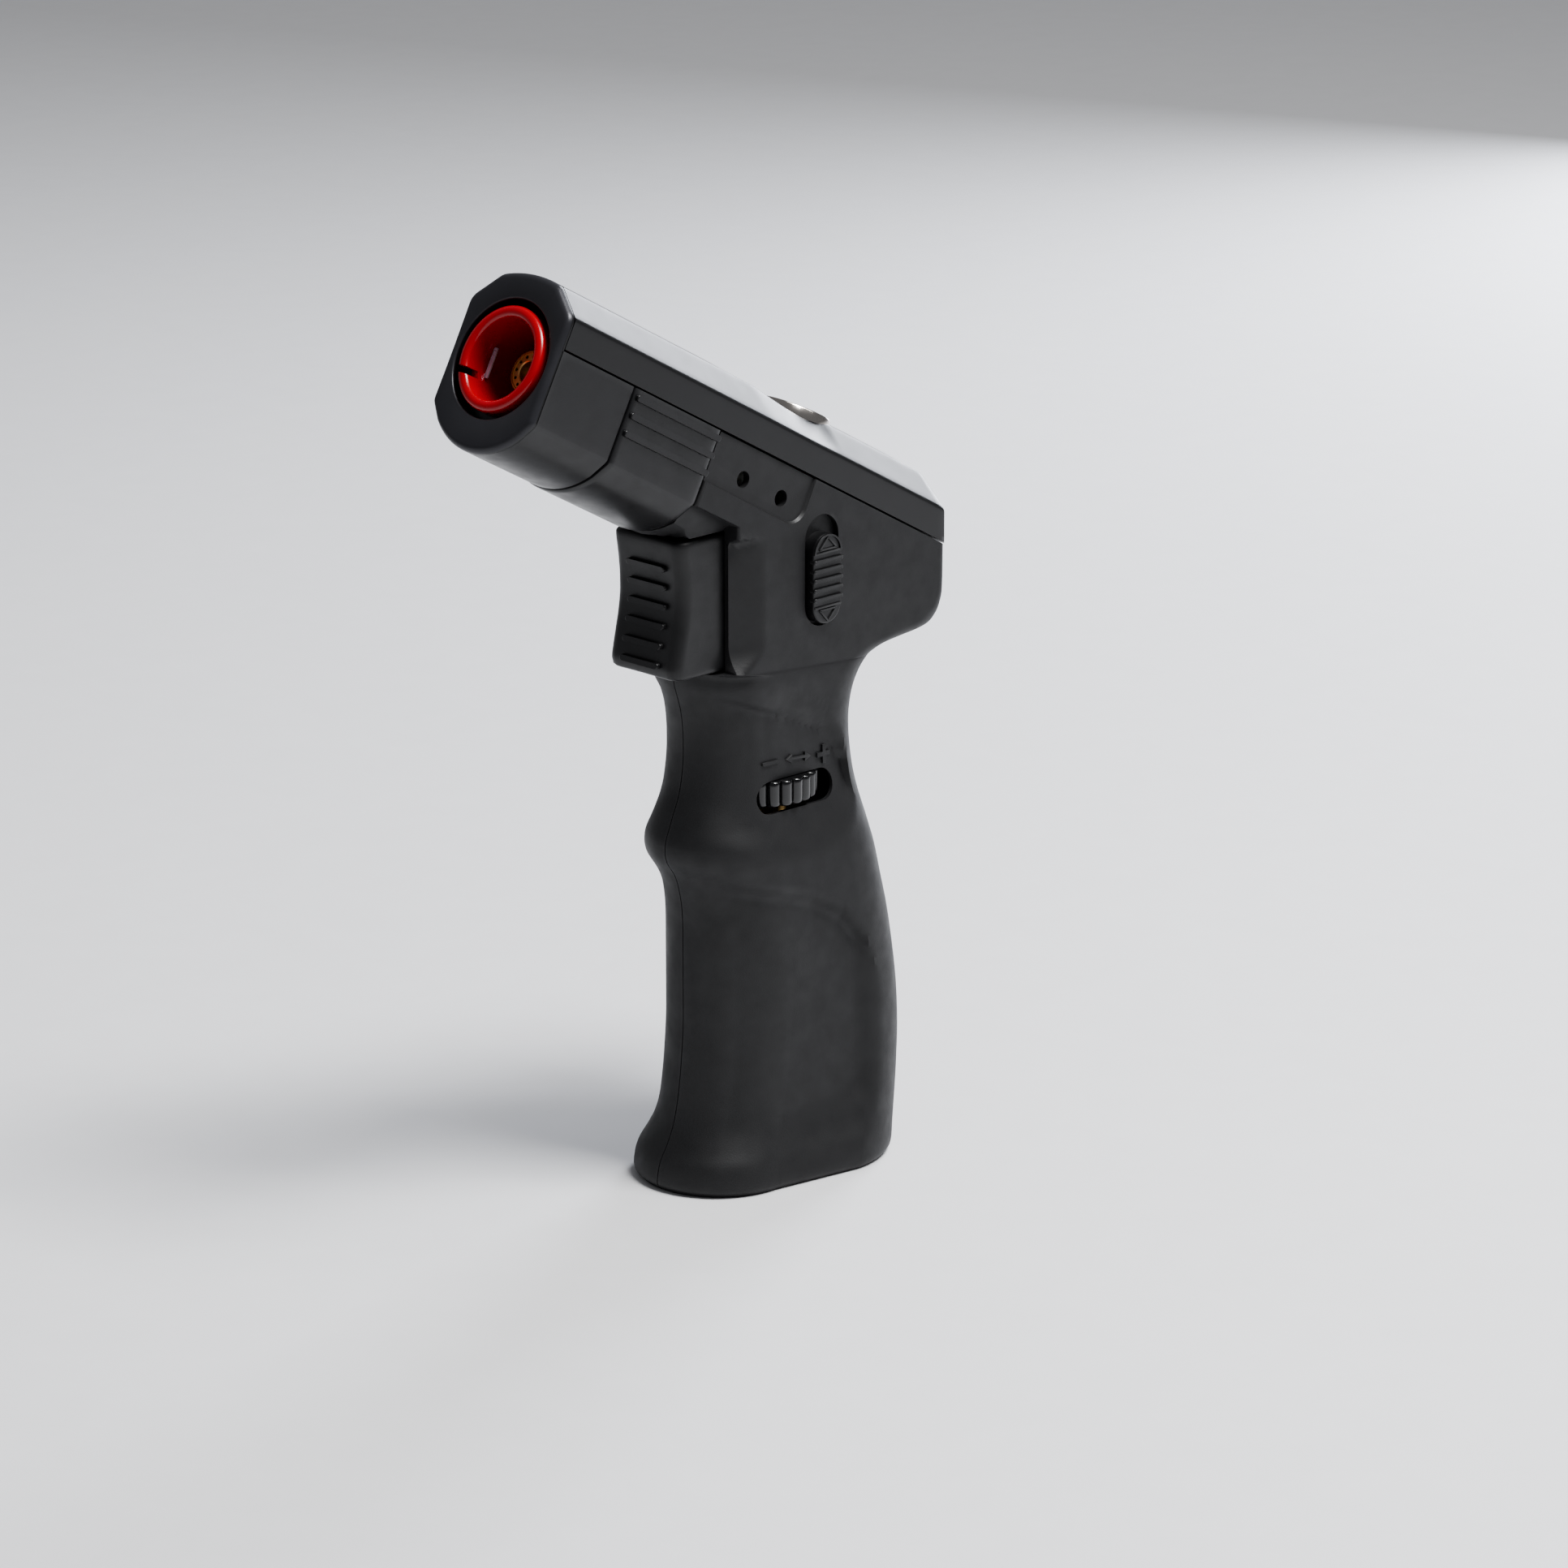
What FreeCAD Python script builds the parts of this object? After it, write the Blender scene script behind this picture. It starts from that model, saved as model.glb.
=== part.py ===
"""Pistol-shaped butane torch, as separate pieces, in millimetres.

World frame: +Z up, the muzzle points towards -X and up, the torch's left side faces -Y.
The origin lies on the ground, on the mid-plane, under the grip.
Barrel frame: origin at the centre of the nozzle cup's rim, X along the barrel towards the
rear, Y as in the world, Z square to the barrel. It is the world frame turned by barrel_tilt.
"""
import FreeCAD, Part
import math
import os
import Sketcher

Vector = FreeCAD.Vector

# ---------------------------------------------------------------- driving dimensions
# Each row: alias, value in mm (or degrees, or a count), meaning.
SIZES = [
    ("barrel_tilt", 28.6, "angle of the barrel above level, degrees"),
    ("rim_x", -54.3, "nozzle cup rim centre, along X"),
    ("rim_z", 137.15, "nozzle cup rim centre, above the ground"),
    ("body_half", 10.75, "half width of the barrel and upper housing"),
    ("seam_up", 3.5, "slide seam above the barrel axis"),
    ("flat_down", 8.4, "lower edge of the barrel's flat side below the axis"),
    ("belly_down", 14.4, "lowest line of the barrel's belly below the axis"),
    ("chamfer_up", 8.3, "lower edge of the slide's chamfer above the axis"),
    ("crown_up", 12.5, "upper edge of the slide's chamfer above the axis"),
    ("crown_half", 6.0, "half width of the slide's crown"),
    ("top_up", 13.3, "slide's top line above the axis"),
    ("housing_start", 37.0, "front edge of the housing along the barrel"),
    ("cap_end", 16.7, "rear edge of the muzzle cap along the barrel"),
    ("seam_gap", 0.15, "gap at a visible seam"),
    ("step_up", 0.2, "barrel cover's stand over the muzzle cap"),
    ("shell_wall", 2.0, "wall of the housing halves"),
    ("cover_wall", 1.6, "wall of the slide, muzzle cap and barrel cover"),
    ("face_thick", 1.2, "muzzle cap's face plate"),
    ("face_front", 0.5, "how far the face plate stands ahead of the rim's centre"),
    ("rear_x", 28.8, "rear face of the housing and slide"),
    ("heel_z", 82.0, "underside of the housing's rear overhang"),
    ("heel_round", 5.0, "radius of the rear overhang's lower corner"),
    ("neck_z", 84.0, "height where the grip's top meets the upper housing"),
    ("neck_front", -21.3, "front of the upper housing's nose"),
    ("neck_rear", 18.5, "rear of the grip's top"),
    ("neck_top", 105.0, "top of the straight neck"),
    ("neck_back", 10.5, "rear of the straight neck"),
    ("vent_radius", 1.2, "radius of an air inlet"),
    ("vent_first", 45.07, "first air inlet along the barrel"),
    ("vent_pitch", 9.06, "from the first to the second air inlet"),
    ("vent_down", 1.65, "air inlets below the axis"),
    ("running_fit", 0.05, "radial clearance of a running fit"),
    ("part_gap", 0.3, "clearance between neighbouring pieces"),
    ("trigger_half", 7.5, "half width of the trigger"),
    ("trigger_side", 0.2, "clearance at each side of the trigger"),
    ("trigger_low", 84.0, "bottom of the trigger"),
    ("trigger_high", 105.6, "top of the trigger at its front"),
    ("trigger_front", -25.4, "trigger's front at its hollow"),
    ("trigger_lip", -27.4, "trigger's front at its lower lip"),
    ("trigger_back", -14.0, "trigger's rear face"),
    ("trigger_travel", 4.5, "trigger's travel"),
    ("mouth_x", -16.9, "front edge of the housing behind the trigger"),
    ("rib_wide", 8.4, "length of a trigger rib"),
    ("rib_pitch", 2.95, "pitch of the trigger ribs"),
    ("rib_high", 0.9, "height of a trigger rib along Z"),
    ("rib_proud", 0.35, "stand of a trigger rib"),
    ("piezo_z", 102.5, "height of the piezo igniter's axis"),
    ("piezo_front", -6.0, "front end of the piezo's body"),
    ("piezo_long", 20.0, "length of the piezo's body"),
    ("piezo_half", 3.5, "half width of the piezo's body"),
    ("piezo_high", 8.0, "height of the piezo's body"),
    ("plunger_half", 2.5, "half width of the piezo's plunger"),
    ("plunger_high", 5.6, "height of the piezo's plunger"),
    ("valve_x", -4.0, "outlet valve's axis along X"),
    ("valve_y", -1.6, "outlet valve's axis across the torch"),
    ("lid_thick", 1.7, "thickness of the tank's lid"),
    ("tank_wall", 1.6, "wall of the fuel tank"),
    ("tank_gap", 0.3, "gap between the tank and the housing"),
    ("column_radius", 3.2, "outlet valve's column, under the flame wheel"),
    ("column_top", 73.0, "top of the outlet valve's column"),
    ("stem_radius", 1.5, "outlet valve's stem"),
    ("collar_radius", 2.2, "outlet stem's collar"),
    ("collar_z", 75.0, "underside of the outlet stem's collar"),
    ("stem_lift", 1.6, "lift of the outlet stem"),
    ("wheel_radius", 10.2, "flame wheel"),
    ("wheel_z", 61.6, "underside of the flame wheel"),
    ("wheel_high", 4.4, "height of the flame wheel"),
    ("wheel_teeth", 26, "grip flutes round the flame wheel"),
    ("slot_long", 15.7, "flame wheel's window along X"),
    ("slot_high", 5.0, "flame wheel's window along Z"),
    ("pivot_x", 1.5, "gas lever's pivot along X"),
    ("pivot_z", 78.5, "gas lever's pivot height"),
    ("pin_radius", 1.0, "gas lever's pivot pin"),
    ("hub_radius", 2.0, "gas lever's hub"),
    ("arm_top", 95.6, "top of the gas lever's arm"),
    ("tongue_z", 94.0, "underside of the trigger's tongue"),
    ("tongue_high", 1.6, "thickness of the trigger's tongue"),
    ("slider_x", 0.8, "centre of the safety slider along X"),
    ("window_low", 88.4, "lower end of the slider's window"),
    ("window_high", 105.9, "upper end of the slider's window"),
    ("window_half", 3.6, "half width of the slider's window"),
    ("window_deep", 1.0, "depth of the slider's window"),
    ("knob_low", 88.9, "lower end of the slider's knob"),
    ("knob_long", 14.2, "length of the slider's knob"),
    ("knob_half", 3.0, "half width of the slider's knob"),
    ("knob_proud", 1.65, "stand of the slider's knob over the housing"),
    ("slider_travel", 2.5, "travel of the safety slider"),
    ("cup_radius", 8.2, "outer radius of the nozzle cup's rim"),
    ("cup_bore", 6.2, "inner radius of the nozzle cup"),
    ("face_hole", 9.25, "radius of the hole in the muzzle face"),
    ("cup_deep", 13.0, "rear end of the nozzle cup along the barrel"),
    ("burner_radius", 3.5, "burner nozzle"),
    ("burner_face", 5.5, "front of the burner nozzle along the barrel"),
    ("flame_tube_radius", 5.0, "mixing tube behind the burner nozzle"),
    ("jet_start", 30.0, "front of the jet holder along the barrel"),
    ("jet_end", 40.0, "rear of the jet holder's body along the barrel"),
    ("hose_radius", 1.3, "gas hose"),
    ("refill_x", 7.0, "refill valve's axis along X"),
    ("refill_radius", 3.0, "refill valve's body"),
    ("refill_stem", 1.0, "refill valve's stem"),
    ("refill_travel", 1.5, "travel of the refill stem"),
    ("screw_radius", 0.9, "housing screw's shank"),
    ("screw_head", 1.6, "housing screw's head"),
    ("screw_long", 12.0, "housing screw under its head"),
    ("boss_radius", 2.5, "screw boss"),
    ("badge_radius", 6.0, "round badge on the slide"),
    ("badge_at", 61.0, "badge's centre along the barrel"),
]

# Grip sections: height, front, front radius, rear, rear radius.
GRIP = [
    (0.0, -23.4, 12.6, 20.0, 15.2),
    (1.5, -24.4, 13.3, 20.9, 16.0),
    (4.5, -23.8, 13.0, 21.3, 15.6),
    (7.0, -22.3, 12.8, 21.7, 15.2),
    (10.0, -20.9, 12.7, 22.1, 14.9),
    (14.0, -19.9, 12.7, 22.6, 14.4),
    (20.0, -19.1, 12.7, 22.9, 14.1),
    (28.0, -18.6, 12.8, 22.5, 13.8),
    (38.0, -18.6, 12.8, 21.0, 13.3),
    (45.0, -18.8, 12.6, 19.4, 12.8),
    (50.0, -20.0, 12.1, 18.2, 12.4),
    (53.0, -21.9, 11.8, 17.2, 12.1),
    (55.5, -22.3, 11.5, 16.3, 11.9),
    (59.5, -20.9, 11.1, 14.8, 11.6),
    (64.0, -19.1, 11.0, 13.6, 11.3),
    (70.0, -18.3, 11.0, 12.9, 11.1),
    (76.0, -18.7, 11.0, 13.8, 10.9),
    (80.0, -19.9, 10.9, 15.7, 10.8),
]
TANK_TOP = 13   # the tank's rim lies at this grip section, the finger ridge

doc = FreeCAD.newDocument("torch")
sheet = doc.addObject("Spreadsheet::Sheet", "sizes")


class Size:
    """A length that knows its value and the sheet expression that it comes from."""

    def __init__(self, text, value):
        self.text = text
        self.value = value

    def __add__(self, other):
        other = as_size(other)
        return Size(f"({self.text} + {other.text})", self.value + other.value)

    def __sub__(self, other):
        other = as_size(other)
        return Size(f"({self.text} - {other.text})", self.value - other.value)

    def __mul__(self, other):
        other = as_size(other)
        return Size(f"({self.text} * {other.text})", self.value * other.value)

    def __truediv__(self, other):
        other = as_size(other)
        return Size(f"({self.text} / {other.text})", self.value / other.value)

    def __neg__(self):
        return self * -1

    def __rsub__(self, other):
        return as_size(other) - self

    __radd__ = __add__
    __rmul__ = __mul__


def as_size(item):
    return item if isinstance(item, Size) else Size(repr(float(item)), float(item))


def fill_sheet():
    """Write every driving dimension to the sheet and give it back by its alias."""
    rows = list(SIZES)
    for place, section in enumerate(GRIP, 1):
        for word, value in zip(("height", "front", "front_round", "rear", "rear_round"), section):
            rows.append((f"grip_{word}_{place}", value, f"grip section {place}, {word}"))
    for row, (alias, value, meaning) in enumerate(rows, 1):
        sheet.set(f"A{row}", meaning)
        sheet.set(f"B{row}", str(value))
        sheet.setAlias(f"B{row}", alias)
    doc.recompute()
    return {alias: Size(f"sizes.{alias}", float(sheet.get(alias))) for alias, _, _ in rows}


class Named:
    """The driving dimensions, one attribute each."""


D = Named()
D.__dict__.update(fill_sheet())
ZERO = as_size(0)
TILT = math.radians(D.barrel_tilt.value)


# ---------------------------------------------------------------- helpers
def bind(item, **properties):
    """Tie properties to sizes: Placement__Base__x stands for Placement.Base.x."""
    for name, size in properties.items():
        item.setExpression(name.replace("__", "."), as_size(size).text)
    return item


def move(item, x=0, y=0, z=0):
    """Tie an item's place to sizes."""
    return bind(item, Placement__Base__x=x, Placement__Base__y=y, Placement__Base__z=z)


def on_barrel(item):
    """Put an item that is built in the barrel frame at its place in the world."""
    item.Placement = FreeCAD.Placement(Vector(), FreeCAD.Rotation(Vector(0, 1, 0), D.barrel_tilt.value))
    bind(item, Placement__Rotation__Angle=D.barrel_tilt)
    return move(item, D.rim_x, 0, D.rim_z)


def barrel_point(along, across, up):
    """A point of the barrel frame, in the world."""
    return Vector(D.rim_x.value + along * math.cos(TILT) + up * math.sin(TILT), across,
                  D.rim_z.value - along * math.sin(TILT) + up * math.cos(TILT))


def block(name, x, y, z):
    """A box between two sizes along each axis."""
    item = doc.addObject("Part::Box", name)
    bind(item, Length=as_size(x[1]) - x[0], Width=as_size(y[1]) - y[0], Height=as_size(z[1]) - z[0])
    return move(item, x[0], y[0], z[0])


TURNS = {"x": FreeCAD.Rotation(Vector(0, 1, 0), 90), "y": FreeCAD.Rotation(Vector(1, 0, 0), -90),
         "z": FreeCAD.Rotation()}


def rod(name, radius, axis, start, end, x=0, y=0, z=0):
    """A cylinder along an axis, from start to end, through x, y, z on the other two."""
    item = doc.addObject("Part::Cylinder", name)
    item.Placement = FreeCAD.Placement(Vector(), TURNS[axis])
    bind(item, Radius=radius, Height=as_size(end) - start)
    place = {"x": x, "y": y, "z": z}
    place[axis] = start
    return move(item, place["x"], place["y"], place["z"])


def fuse(name, *items):
    result = doc.addObject("Part::MultiFuse", name)
    result.Shapes = list(items)
    return result


def cut(name, base, *tools):
    result = doc.addObject("Part::Cut", name)
    result.Base = base
    result.Tool = tools[0] if len(tools) == 1 else fuse(name + "_tools", *tools)
    return result


def common(name, first, second):
    result = doc.addObject("Part::MultiCommon", name)
    result.Shapes = [first, second]
    return result


def new_body(name):
    return doc.addObject("PartDesign::Body", name)


def new_sketch(body, name, plane, offset=0):
    """A sketch on one of the body's own origin planes, moved along its normal."""
    sketch = body.newObject("Sketcher::SketchObject", name)
    support = next(item for item in body.Origin.OriginFeatures if item.Role == plane)
    sketch.AttachmentSupport = [(support, "")]
    sketch.MapMode = "FlatFace"
    sketch.AttachmentOffset = FreeCAD.Placement(Vector(0, 0, as_size(offset).value), FreeCAD.Rotation())
    bind(sketch, AttachmentOffset__Base__z=offset)
    return sketch


def fix(sketch, kind, *where):
    """Add a constraint whose value, given last, is tied to a size."""
    size = as_size(where[-1])
    index = sketch.addConstraint(Sketcher.Constraint(kind, *where[:-1], size.value))
    sketch.setExpression(f"Constraints[{index}]", size.text)


def draw_outline(sketch, points, bulges=()):
    """A closed outline through points; bulges gives {side number: radius} for arcs that bow out."""
    bulges = dict(bulges)
    count = len(points)
    flat = [Vector(as_size(x).value, as_size(y).value, 0) for x, y in points]
    turn = sum(flat[i].x * flat[(i + 1) % count].y - flat[(i + 1) % count].x * flat[i].y
               for i in range(count))
    outward = 1 if turn > 0 else -1
    for side in range(count):
        start, end = flat[side], flat[(side + 1) % count]
        if side not in bulges:
            sketch.addGeometry(Part.LineSegment(start, end), False)
            continue
        radius = as_size(bulges[side]).value
        chord = end - start
        depth = math.sqrt(radius ** 2 - (chord.Length / 2) ** 2)
        inward = Vector(-chord.y, chord.x, 0).normalize() * math.copysign(outward, radius)
        centre = (start + end) / 2 + inward * depth
        first, last = (math.atan2(spot.y - centre.y, spot.x - centre.x) for spot in (start, end))
        if outward * radius < 0:
            first, last = last, first
        circle = Part.Circle(centre, Vector(0, 0, 1), abs(radius))
        sketch.addGeometry(Part.ArcOfCircle(circle, first, last), False)
    ends = [ends_of(sketch, side, flat[side]) for side in range(count)]
    for side in range(count):
        following = (side + 1) % count
        sketch.addConstraint(Sketcher.Constraint("Coincident", side, ends[side][1],
                                                 following, ends[following][0]))
    for side, (x, y) in enumerate(points):
        fix(sketch, "DistanceX", -1, 1, side, ends[side][0], x)
        fix(sketch, "DistanceY", -1, 1, side, ends[side][0], y)
    for side, radius in bulges.items():
        fix(sketch, "Radius", side, as_size(radius) if as_size(radius).value > 0 else -as_size(radius))


def ends_of(sketch, side, start):
    """Which end of a side, 1 or 2, lies at the start, then the other: arcs may run backwards."""
    near = (sketch.Geometry[side].StartPoint - start).Length
    far = (sketch.Geometry[side].EndPoint - start).Length
    return (1, 2) if near <= far else (2, 1)


def draw_oval(sketch, front, front_round, rear, rear_round):
    """An oval along X: a front arc and a rear arc, joined by two lines that touch both."""
    first, last = (front + front_round), (rear - rear_round)
    lean = math.asin((rear_round.value - front_round.value) / (last.value - first.value))
    rise, run = math.cos(lean), math.sin(lean)

    def on_arc(centre, radius, side):
        return Vector(centre.value - radius.value * run, side * radius.value * rise, 0)

    front_top, rear_top = on_arc(first, front_round, 1), on_arc(last, rear_round, 1)
    front_low, rear_low = on_arc(first, front_round, -1), on_arc(last, rear_round, -1)
    sketch.addGeometry(Part.Arc(front_top, Vector(front.value, 0, 0), front_low), False)
    sketch.addGeometry(Part.LineSegment(front_low, rear_low), False)
    sketch.addGeometry(Part.Arc(rear_low, Vector(rear.value, 0, 0), rear_top), False)
    sketch.addGeometry(Part.LineSegment(rear_top, front_top), False)
    for side, start in enumerate((front_top, front_low, rear_low, rear_top)):
        following = (side + 1) % 4
        joint = (front_low, rear_low, rear_top, front_top)[side]
        here = ends_of(sketch, side, start)[1]
        there = ends_of(sketch, following, joint)[0]
        sketch.addConstraint(Sketcher.Constraint("Tangent", side, here, following, there))
    for arc, centre, radius in ((0, first, front_round), (2, last, rear_round)):
        sketch.addConstraint(Sketcher.Constraint("PointOnObject", arc, 3, -1))
        fix(sketch, "DistanceX", -1, 1, arc, 3, centre)
        fix(sketch, "Radius", arc, radius)


def pad(body, sketch, length, midplane=False, pocket=False):
    """Extrude a sketch along its plane's normal, or cut with it."""
    kind = "PartDesign::Pocket" if pocket else "PartDesign::Pad"
    feature = body.newObject(kind, sketch.Name + ("_pocket" if pocket else "_pad"))
    feature.Profile = sketch
    feature.Midplane = midplane
    bind(feature, Length=length)
    body.Tip = feature
    return feature


def profile(name, points, width, bulges=()):
    """A plate in the X-Z plane, centred on the mid-plane."""
    body = new_body(name)
    sketch = new_sketch(body, name + "_outline", "XZ_Plane")
    draw_outline(sketch, points, bulges)
    pad(body, sketch, width, midplane=True)
    return body


NODES = []


def node(name, item):
    """Mark an item as a finished piece."""
    item.Label = name
    NODES.append(item)
    return item


def shape_node(name, shape):
    """A finished piece whose shape is worked out here."""
    item = doc.addObject("Part::Feature", name)
    item.Shape = shape
    return node(name, item)


# ---------------------------------------------------------------- outer forms
def lofted(name, inset, first, low, last):
    """The grip's form, inset all round, from section first to last; low is its lowest plane."""
    body = new_body(name)
    sketches = []
    for place in range(first, last + 1):
        height, front, front_round, rear, rear_round = (
            getattr(D, f"grip_{word}_{place}")
            for word in ("height", "front", "front_round", "rear", "rear_round"))
        level = as_size(low) if place == first and low is not None else height
        sketch = new_sketch(body, f"{name}_{place}", "XY_Plane", level)
        draw_oval(sketch, front + inset, front_round - inset, rear - inset, rear_round - inset)
        sketches.append(sketch)
    if last == len(GRIP):
        sketch = new_sketch(body, f"{name}_neck", "XY_Plane", D.neck_z)
        draw_oval(sketch, D.neck_front + inset, D.body_half - inset,
                  D.neck_rear - inset, D.body_half - inset)
        sketches.append(sketch)
    loft = body.newObject("PartDesign::AdditiveLoft", name + "_loft")
    loft.Profile = sketches[0]
    loft.Sections = sketches[1:]
    loft.Ruled = True
    body.Tip = loft
    return body


def neck(name, inset, top):
    """The straight oval part above the grip."""
    body = new_body(name)
    sketch = new_sketch(body, name + "_outline", "XY_Plane", D.neck_z)
    draw_oval(sketch, D.neck_front + inset, D.body_half - inset,
              D.neck_back - inset, D.body_half - inset)
    pad(body, sketch, as_size(top) - D.neck_z)
    return body


def barrel_x(along, up):
    """World X of a barrel-frame place on the mid-plane."""
    return D.rim_x + as_size(along) * COS + as_size(up) * SIN


def barrel_z(along, up):
    """World Z of a barrel-frame place on the mid-plane."""
    return D.rim_z - as_size(along) * SIN + as_size(up) * COS


COS = Size("cos(sizes.barrel_tilt * 1 deg)", math.cos(TILT))
SIN = Size("sin(sizes.barrel_tilt * 1 deg)", math.sin(TILT))


def rear_profile(name, inset, extra_up):
    """The upper housing's side view, behind the barrel cover, as a plate of its full width."""
    up = D.seam_up + extra_up
    start = D.housing_start + inset
    rear = D.rear_x - inset
    rear_along = (rear - D.rim_x - up * SIN) / COS
    heel = D.heel_z + inset
    corner = D.heel_round - inset
    points = [
        (barrel_x(start, up), barrel_z(start, up)),
        (barrel_x(start, -D.flat_down + inset), barrel_z(start, -D.flat_down + inset)),
        (D.neck_front + D.body_half, barrel_z(start, -D.flat_down + inset)
         - (D.neck_front + D.body_half - barrel_x(start, -D.flat_down + inset)) * SIN / COS),
        (D.neck_front + D.body_half, heel),
        (rear - corner, heel),
        (rear, heel + corner),
        (rear, barrel_z(rear_along, up)),
    ]
    return profile(name, points, (D.body_half - inset) * 2, {4: corner})


def belly(name, start, length, half, flat, low, top):
    """A stretch of the barrel's lower form: straight sides, then one round belly."""
    body = new_body(name)
    sketch = new_sketch(body, name + "_outline", "YZ_Plane", start)
    depth = low - flat
    radius = (half * half + depth * depth) / (depth * 2)
    points = [(half, top), (-half, top), (-half, -flat), (half, -flat)]
    draw_outline(sketch, points, {2: radius})
    pad(body, sketch, length)
    return on_barrel(body)


def roof(name, start, length, inset, base):
    """A stretch of the slide's form: straight sides, chamfers and a low crown."""
    body = new_body(name)
    sketch = new_sketch(body, name + "_outline", "YZ_Plane", start)
    half = D.body_half - inset
    crown = D.crown_half - inset / 2
    rise = D.top_up - D.crown_up
    radius = (crown * crown + rise * rise) / (rise * 2)
    points = [(-half, base), (half, base), (half, D.chamfer_up - inset / 2), (crown, D.crown_up - inset),
              (-crown, D.crown_up - inset), (-half, D.chamfer_up - inset / 2)]
    draw_outline(sketch, points, {3: radius})
    pad(body, sketch, length)
    return on_barrel(body)


def upright_slot(name, start, end, half, low, high, x):
    """A bar with round ends, its depth along Y and its long way along Z."""
    return fuse(name, block(name + "_mid", (x - half, x + half), (start, end), (low + half, high - half)),
                rod(name + "_low", half, "y", start, end, x=x, z=low + half),
                rod(name + "_high", half, "y", start, end, x=x, z=high - half))


def level_slot(name, start, end, half, low, high, z):
    """A bar with round ends, its depth along Y and its long way along X."""
    return fuse(name, block(name + "_mid", (low + half, high - half), (start, end), (z - half, z + half)),
                rod(name + "_low", half, "y", start, end, x=low + half, z=z),
                rod(name + "_high", half, "y", start, end, x=high - half, z=z))


def ring(name, outer, inner, axis, start, end, **place):
    """A plain ring or bush."""
    margin = 1
    return cut(name, rod(name + "_out", outer, axis, start, end, **place),
               rod(name + "_bore", inner, axis, as_size(start) - margin, as_size(end) + margin, **place))


def coil(name, mean, wire, turns, start, end):
    """A compression spring along +Z of its own frame, from start to end."""
    rise = end - start - 2 * wire
    helix = Part.makeHelix(rise / turns, rise, mean)
    profile_wire = Part.Wire(Part.makeCircle(wire, Vector(mean, 0, 0), Vector(0, 1, 0)))
    solid = Part.Wire(helix.Edges).makePipeShell([profile_wire], True, True)
    solid.translate(Vector(0, 0, start + wire))
    return solid


def tube(points, radius):
    """A round tube along straight runs joined by tangent arcs."""
    edges = []
    start = points[0]
    for before, corner, after in zip(points, points[1:], points[2:]):
        back, onward = before - corner, after - corner
        reach = ARC_SHARE * min(back.Length, onward.Length)
        first = corner + Vector(back).normalize() * reach
        last = corner + Vector(onward).normalize() * reach
        inward = (Vector(back).normalize() + Vector(onward).normalize()).normalize()
        bend = reach * math.tan(back.getAngle(onward) / 2)
        middle = corner + inward * (math.hypot(reach, bend) - bend)
        edges.append(Part.LineSegment(start, first).toShape())
        edges.append(Part.Arc(first, middle, last).toShape())
        start = last
    edges.append(Part.LineSegment(start, points[-1]).toShape())
    path = Part.Wire(edges)
    circle = Part.makeCircle(radius, points[0], points[1] - points[0])
    return path.makePipeShell([Part.Wire(circle)], True, True)


ARC_SHARE = 0.45


LID_Z = getattr(D, f"grip_height_{TANK_TOP}")
LID_TOP = LID_Z + D.lid_thick
FAR = as_size(30)
SLEEVE_HALF = D.body_half - D.cover_wall - D.seam_gap
SLEEVE_LOW = D.belly_down - D.cover_wall - D.seam_gap
PIEZO_LOW = D.piezo_z - D.piezo_high / 2
PIEZO_BACK = D.piezo_front + D.piezo_long
WHEEL_TOP = D.wheel_z + D.wheel_high
KNOB_MID = D.knob_low + D.knob_long / 2
SCREWS = [("low", as_size(-11.5), as_size(73.2)), ("rear", as_size(23.2), as_size(87.4))]
BARREL_SCREW = (as_size(33), as_size(-8.4))
HEAD_SEAT = as_size(6)
RIB_FRONT = as_size(19)
RIB_REAR = as_size(34)
RIB_THICK = as_size(1.5)
HOLDER_Y = as_size(6.15)
HOLDER_UP = as_size(-2.2)
HOLDER_RADIUS = as_size(1.0)
INSIDE = D.body_half - 1.2
TUBE_FIT = D.running_fit


def housing_shell():
    """The housing's two halves as one hollow form, before they part at the mid-plane."""
    merge = 14
    outer = fuse(
        "outer_form",
        lofted("grip_outer", ZERO, 1, None, len(GRIP)),
        neck("neck_outer", ZERO, D.neck_top),
        rear_profile("rear_outer", ZERO, ZERO),
        belly("belly_outer", D.housing_start, merge, D.body_half, D.flat_down, D.belly_down, D.seam_up),
        belly("sleeve_outer", RIB_FRONT - 2, D.housing_start - RIB_FRONT + 3, SLEEVE_HALF,
              D.flat_down, SLEEVE_LOW, D.seam_up - D.seam_gap))
    wall = D.shell_wall
    headroom = 9
    inner = fuse(
        "inner_form",
        lofted("grip_inner", wall, 2, wall, len(GRIP)),
        neck("neck_inner", wall, D.neck_top + headroom),
        rear_profile("rear_inner", wall, as_size(headroom)),
        belly("belly_inner", D.housing_start - 1, merge, D.body_half - wall, D.flat_down,
              D.belly_down - wall, D.seam_up + headroom),
        belly("sleeve_inner", RIB_FRONT - 3, D.housing_start - RIB_FRONT + 5,
              SLEEVE_HALF - D.cover_wall, D.flat_down, SLEEVE_LOW - D.cover_wall, D.seam_up + 1))
    trimmed = common("ribs_trimmed", fuse("housing_ribs", *housing_ribs()), outer)
    return fuse("ribbed_form", cut("hollow_form", outer, inner), trimmed, barrel_ribs())


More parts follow.
